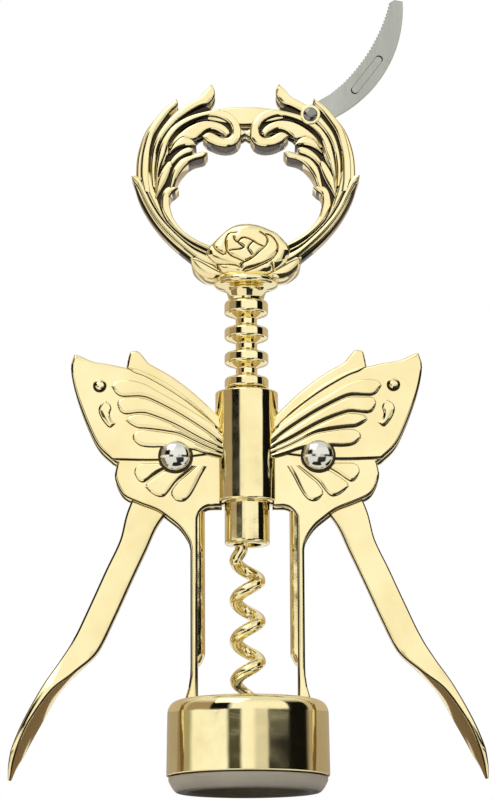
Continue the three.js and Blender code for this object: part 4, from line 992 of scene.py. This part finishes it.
TONES = {
    "white": (1.12, 1.12, 1.12), "grey": (0.75, 0.75, 0.75), "tan": (0.6, 0.5, 0.4),
    "sand": (0.45, 0.38, 0.3), "umber": (0.4, 0.32, 0.22), "olive": (0.42, 0.4, 0.3),
    "brown": (0.3, 0.23, 0.16), "dusk": (0.07, 0.065, 0.04), "black": (0.006, 0.006, 0.006),
}
# Tones round the horizon, by degrees from the front: of the upper row and of the lower
HIGH_FLAGS = [
    (-179, "tan"), (-102, "tan"), (-98, "umber"), (-58, "umber"), (-54, "black"), (-29, "black"),
    (-22, "white"), (58, "white"), (61, "black"), (94, "black"), (98, "tan"), (179, "tan"),
]
LOW_FLAGS = [
    (-179, "sand"), (-121, "sand"), (-117, "brown"), (-107, "brown"), (-103, "olive"), (-92, "olive"),
    (-84, "white"), (-31, "white"), (-26, "dusk"), (-12, "dusk"), (-8, "white"), (6, "white"), (12, "grey"),
    (27, "grey"), (30, "black"), (90, "black"), (98, "sand"), (179, "sand"),
]
# Upward shares of the direction between which one tone gives way to the next: from the lower row to
# the upper, from there to the ceiling, and from the lower row down to the plain tone below
ROW_CHANGE, CEILING_CHANGE, BELOW_CHANGE = (0.146, 0.15), (0.55, 0.8), (-0.04, -0.1)
CEILING = (0.9, 0.9, 0.9, 1)
CARD_BLACK = (0.008, 0.008, 0.008)
# Cards that lie on the floor and only show in the metal: name, colour and corners, as (X, Y) in metres
FLOOR_CARDS = [
    ("front_card", CARD_BLACK, [(-0.05, -0.16), (0.05, -0.16), (0.05, -0.06), (-0.05, -0.06)]),
    ("far_front_card", CARD_BLACK, [(0.004, -0.13), (0.03, -1.5), (1.2, -1.5), (0.12, -0.13)]),
    ("side_front_card", (0.3, 0.23, 0.16), [(-0.13, -0.08), (-1.5, -0.9), (-1.5, 0.4), (-0.4, 0.1)]),
    ("left_under_card", (0.24, 0.17, 0.11), [(-0.07, 0.0), (-0.045, -0.014), (0.065, 0.108), (0.04, 0.122)]),
    ("right_under_card", (0.24, 0.17, 0.11), [(0.045, -0.014), (0.07, 0.0), (-0.04, 0.122), (-0.065, 0.108)]),
    ("left_card", (0.38, 0.29, 0.2), [(-0.35, -0.06), (-0.085, -0.06), (-0.085, 0.12), (-0.35, 0.12)]),
    ("right_card", CARD_BLACK, [(0.085, -0.06), (0.35, -0.06), (0.35, 0.12), (0.085, 0.12)]),
    ("rear_card", (0.36, 0.28, 0.2), [(-0.3, 0.45), (0.3, 0.45), (0.3, 0.95), (-0.3, 0.95)]),
]
CARD_HEIGHT, CARD_STEP = 0.0002, 0.0001
FLOOR_CORNERS = [(-6, -6), (6, -6), (6, 6), (-6, 6)]
FLOOR_LIFT = 0.3
LAMP_SIZE, LAMP_PLACE, LAMP_TURN = 0.9, (-0.5, -0.8, 1.1), (math.radians(40), 0, math.radians(-32))
CAMERA_PLACE, CAMERA_SHIFT = (0, -0.7856, -0.0613), (-0.001, 0.0398)
CAMERA_RISE, CAMERA_ROLL = 10.9, -0.25


def flag_row(tree, share, stops):
    """Tones along the azimuth, which is given as a share of the full turn."""
    ramp = add_node(tree, "ValToRGB", {"Fac": share})
    marks = ramp.color_ramp.elements
    marks.remove(marks[-1])
    marks[0].color = (*TONES["white"], 1)
    for degrees, tone in stops:
        marks.new(degrees / 360 + 0.5).color = (*TONES[tone], 1)
    return ramp.outputs["Color"]


def studio_world(scene):
    """A white surround with dark flags at either side. For the camera it is plain white. Flags are
    set by the direction's azimuth, in one row near the horizon and another above it."""
    world = bpy.data.worlds.new("studio")
    scene.world = world
    world.use_nodes = True
    tree = world.node_tree
    tree.nodes.clear()
    way = add_node(tree, "SeparateXYZ", {"Vector": add_node(tree, "TexCoord").outputs["Generated"]}).outputs
    azimuth = math_node(tree, "ARCTAN2", way["X"], math_node(tree, "MULTIPLY", way["Y"], -1.0))
    share = math_node(tree, "MULTIPLY_ADD", azimuth, 0.5 / math.pi, 0.5)
    rows = [flag_row(tree, share, stops) for stops in (LOW_FLAGS, HIGH_FLAGS)]
    flags = mix_colour(tree, map_range(tree, way["Z"], *ROW_CHANGE), *rows)
    plain = [map_range(tree, way["Z"], *change) for change in (CEILING_CHANGE, BELOW_CHANGE)]
    tone = mix_colour(tree, math_node(tree, "MAXIMUM", *plain), flags, CEILING)
    studio, white = (add_node(tree, "Background", {"Color": colour}).outputs[0]
                     for colour in (tone, (1, 1, 1, 1)))
    seen = add_node(tree, "LightPath").outputs["Is Camera Ray"]
    pick = add_node(tree, "MixShader", {0: seen, 1: studio, 2: white})
    add_node(tree, "OutputWorld", {"Surface": pick.outputs[0]})


def floor_material(colour):
    """Pale diffuse floor lifted towards white for camera, glossy and transmission rays, and clear
    from beneath."""
    material, tree = new_material("pale_floor")
    tree.nodes.clear()
    ray = add_node(tree, "LightPath").outputs
    seen = math_node(tree, "MAXIMUM", ray["Is Camera Ray"], ray["Is Glossy Ray"])
    seen = math_node(tree, "MAXIMUM", seen, ray["Is Transmission Ray"])
    lift = add_node(tree, "Emission", {"Strength": math_node(tree, "MULTIPLY", seen, FLOOR_LIFT)})
    matt = add_node(tree, "BsdfDiffuse", {"Color": (*colour, 1)})
    top = add_node(tree, "AddShader", {0: matt.outputs[0], 1: lift.outputs[0]})
    side, clear = add_node(tree, "NewGeometry"), add_node(tree, "BsdfTransparent")
    under = side.outputs["Backfacing"]
    pick = add_node(tree, "MixShader", {0: under, 1: top.outputs[0], 2: clear.outputs[0]})
    add_node(tree, "OutputMaterial", {"Surface": pick.outputs[0]})
    return material


def card_material(name, tone):
    """Matt card of one tone."""
    material, tree = new_material(name)
    connect(tree.nodes["Principled BSDF"], {"Base Color": (*tone, 1), "Roughness": 1.0})
    return material


def stage_plane(name, corners, height, material):
    """A level plane of the stage, from its four corners as (X, Y) in metres."""
    mesh = bpy.data.meshes.new(name)
    mesh.from_pydata([(x, y, height) for x, y in corners], [], [(0, 1, 2, 3)])
    mesh.materials.append(material)
    plane = add_object(name, mesh)
    return plane


class CORKSCREW_OT_stage(bpy.types.Operator):
    """Floor, dark cards, lamps, surround and camera"""
    bl_idname = "corkscrew.stage"
    bl_label = "Stage"

    def execute(self, context):
        scene = context.scene
        look = scene.corkscrew_finishes
        scene.view_settings.view_transform = "Standard"
        studio_world(scene)
        stage_plane("floor", FLOOR_CORNERS, 0, floor_material(look.floor))
        for place, (name, tone, corners) in enumerate(FLOOR_CARDS):
            card = stage_plane(name, corners, CARD_HEIGHT + CARD_STEP * place, card_material(name, tone))
            card.visible_camera = card.visible_diffuse = card.visible_shadow = False
        lamp = bpy.data.lights.new("soft_key", "AREA")
        lamp.energy, lamp.shape, lamp.size, lamp.size_y = look.lamp_power, "RECTANGLE", LAMP_SIZE, LAMP_SIZE
        key = add_object("soft_key", lamp)
        key.location, key.rotation_euler = LAMP_PLACE, LAMP_TURN
        eye = bpy.data.cameras.new("camera")
        eye.lens, eye.sensor_width = look.lens * 1000, 36
        eye.shift_x, eye.shift_y = CAMERA_SHIFT
        eye.clip_start = 0.01
        camera = add_object("camera", eye)
        camera.location = CAMERA_PLACE
        camera.rotation_mode = "QUATERNION"
        tilt = Euler((math.radians(90 + CAMERA_RISE), 0, 0)).to_quaternion()
        camera.rotation_quaternion = tilt @ Quaternion((0, 0, 1), math.radians(CAMERA_ROLL))
        scene.camera = camera
        return {"FINISHED"}


# Settings and panel

def length_property(name, description, millimetres):
    """A length of the sidebar, kept in metres."""
    return bpy.props.FloatProperty(name=name, description=description, default=millimetres * MM, min=0.0001,
                                   precision=5, unit="LENGTH", subtype="DISTANCE")


def colour_property(name, thing, colour):
    """A colour of the sidebar."""
    return bpy.props.FloatVectorProperty(name=name, description=f"Colour of the {thing}", subtype="COLOR",
                                         default=colour, min=0, max=1)


class CorkscrewSizes(bpy.types.PropertyGroup):
    """Sizes that can be changed without redrawing the outlines."""
    sleeve_radius: length_property("Sleeve radius", "Outside radius of the sleeve round the rack", 7.85)
    collar_radius: length_property("Collar radius", "Radius of the rack's collars", 5.5)
    neck_radius: length_property("Neck radius", "Radius between the rack's collars", 2.7)
    collar_land: length_property("Collar land", "Length of a collar's outer face", 2.6)
    helix_radius: length_property("Helix radius", "Radius of the worm's centre line", 2.85)
    wire_radius: length_property("Wire radius", "Radius of the worm's wire", 1.6)
    rivet_radius: length_property("Rivet radius", "Radius of the rivet domes", 3.75)
    pin_radius: length_property("Pin radius", "Radius of the blade's pin head", 1.8)


class CorkscrewFinishes(bpy.types.PropertyGroup):
    """Colours of the finishes, and the lamp and lens."""
    gold: colour_property("Gold", "gilt castings", (0.92, 0.82, 0.475))
    # Painted shade: the near black colour that stands in for shade and dark reflections on walls and in
    # grooves
    recess: colour_property("Painted shade", "painted shade on dark walls and in grooves", (0.05, 0.038, 0.02))
    steel: colour_property("Rivet steel", "rivets", (0.76, 0.74, 0.66))
    blade: colour_property("Blade steel", "foil blade", (0.5, 0.51, 0.455))
    plastic: colour_property("Guide plastic", "bottle guide", (0.46, 0.42, 0.34))
    nylon: colour_property("Nylon", "lever washers", (0.8, 0.79, 0.72))
    floor: colour_property("Floor", "floor", (0.8, 0.8, 0.8))
    lamp_power: bpy.props.FloatProperty(name="Lamp", description="Power of the soft lamp", default=3.0, min=0,
                                        unit="POWER")
    lens: bpy.props.FloatProperty(name="Lens", description="Focal length of the camera", default=0.144,
                                  min=0.01, unit="LENGTH", subtype="DISTANCE")


STEPS = ("frame_casting", "bottle_guide", "levers", "rivets", "screw", "handle_ring", "foil_blade",
         "small_hardware", "stage")


class CORKSCREW_PT_panel(bpy.types.Panel):
    """Sizes, colours and building steps of the corkscrew"""
    bl_idname = "CORKSCREW_PT_panel"
    bl_label = "Wing corkscrew"
    bl_space_type = "VIEW_3D"
    bl_region_type = "UI"
    bl_category = "Corkscrew"

    def draw(self, context):
        for group in (context.scene.corkscrew_sizes, context.scene.corkscrew_finishes):
            for name in group.bl_rna.properties.keys():
                if name not in ("rna_type", "name"):
                    self.layout.prop(group, name)
        for step in STEPS:
            self.layout.operator(f"corkscrew.{step}")


CLASSES = (
    CorkscrewSizes, CorkscrewFinishes, CORKSCREW_OT_frame_casting, CORKSCREW_OT_bottle_guide,
    CORKSCREW_OT_levers, CORKSCREW_OT_rivets, CORKSCREW_OT_screw, CORKSCREW_OT_handle_ring,
    CORKSCREW_OT_foil_blade, CORKSCREW_OT_small_hardware, CORKSCREW_OT_stage, CORKSCREW_PT_panel,
)


def register():
    for item in CLASSES:
        bpy.utils.register_class(item)
    bpy.types.Scene.corkscrew_sizes = bpy.props.PointerProperty(type=CorkscrewSizes)
    bpy.types.Scene.corkscrew_finishes = bpy.props.PointerProperty(type=CorkscrewFinishes)


def unregister():
    del bpy.types.Scene.corkscrew_finishes, bpy.types.Scene.corkscrew_sizes
    for item in reversed(CLASSES):
        bpy.utils.unregister_class(item)


def main():
    register()
    for step in STEPS:
        getattr(bpy.ops.corkscrew, step)()


if __name__ == "__main__":
    main()
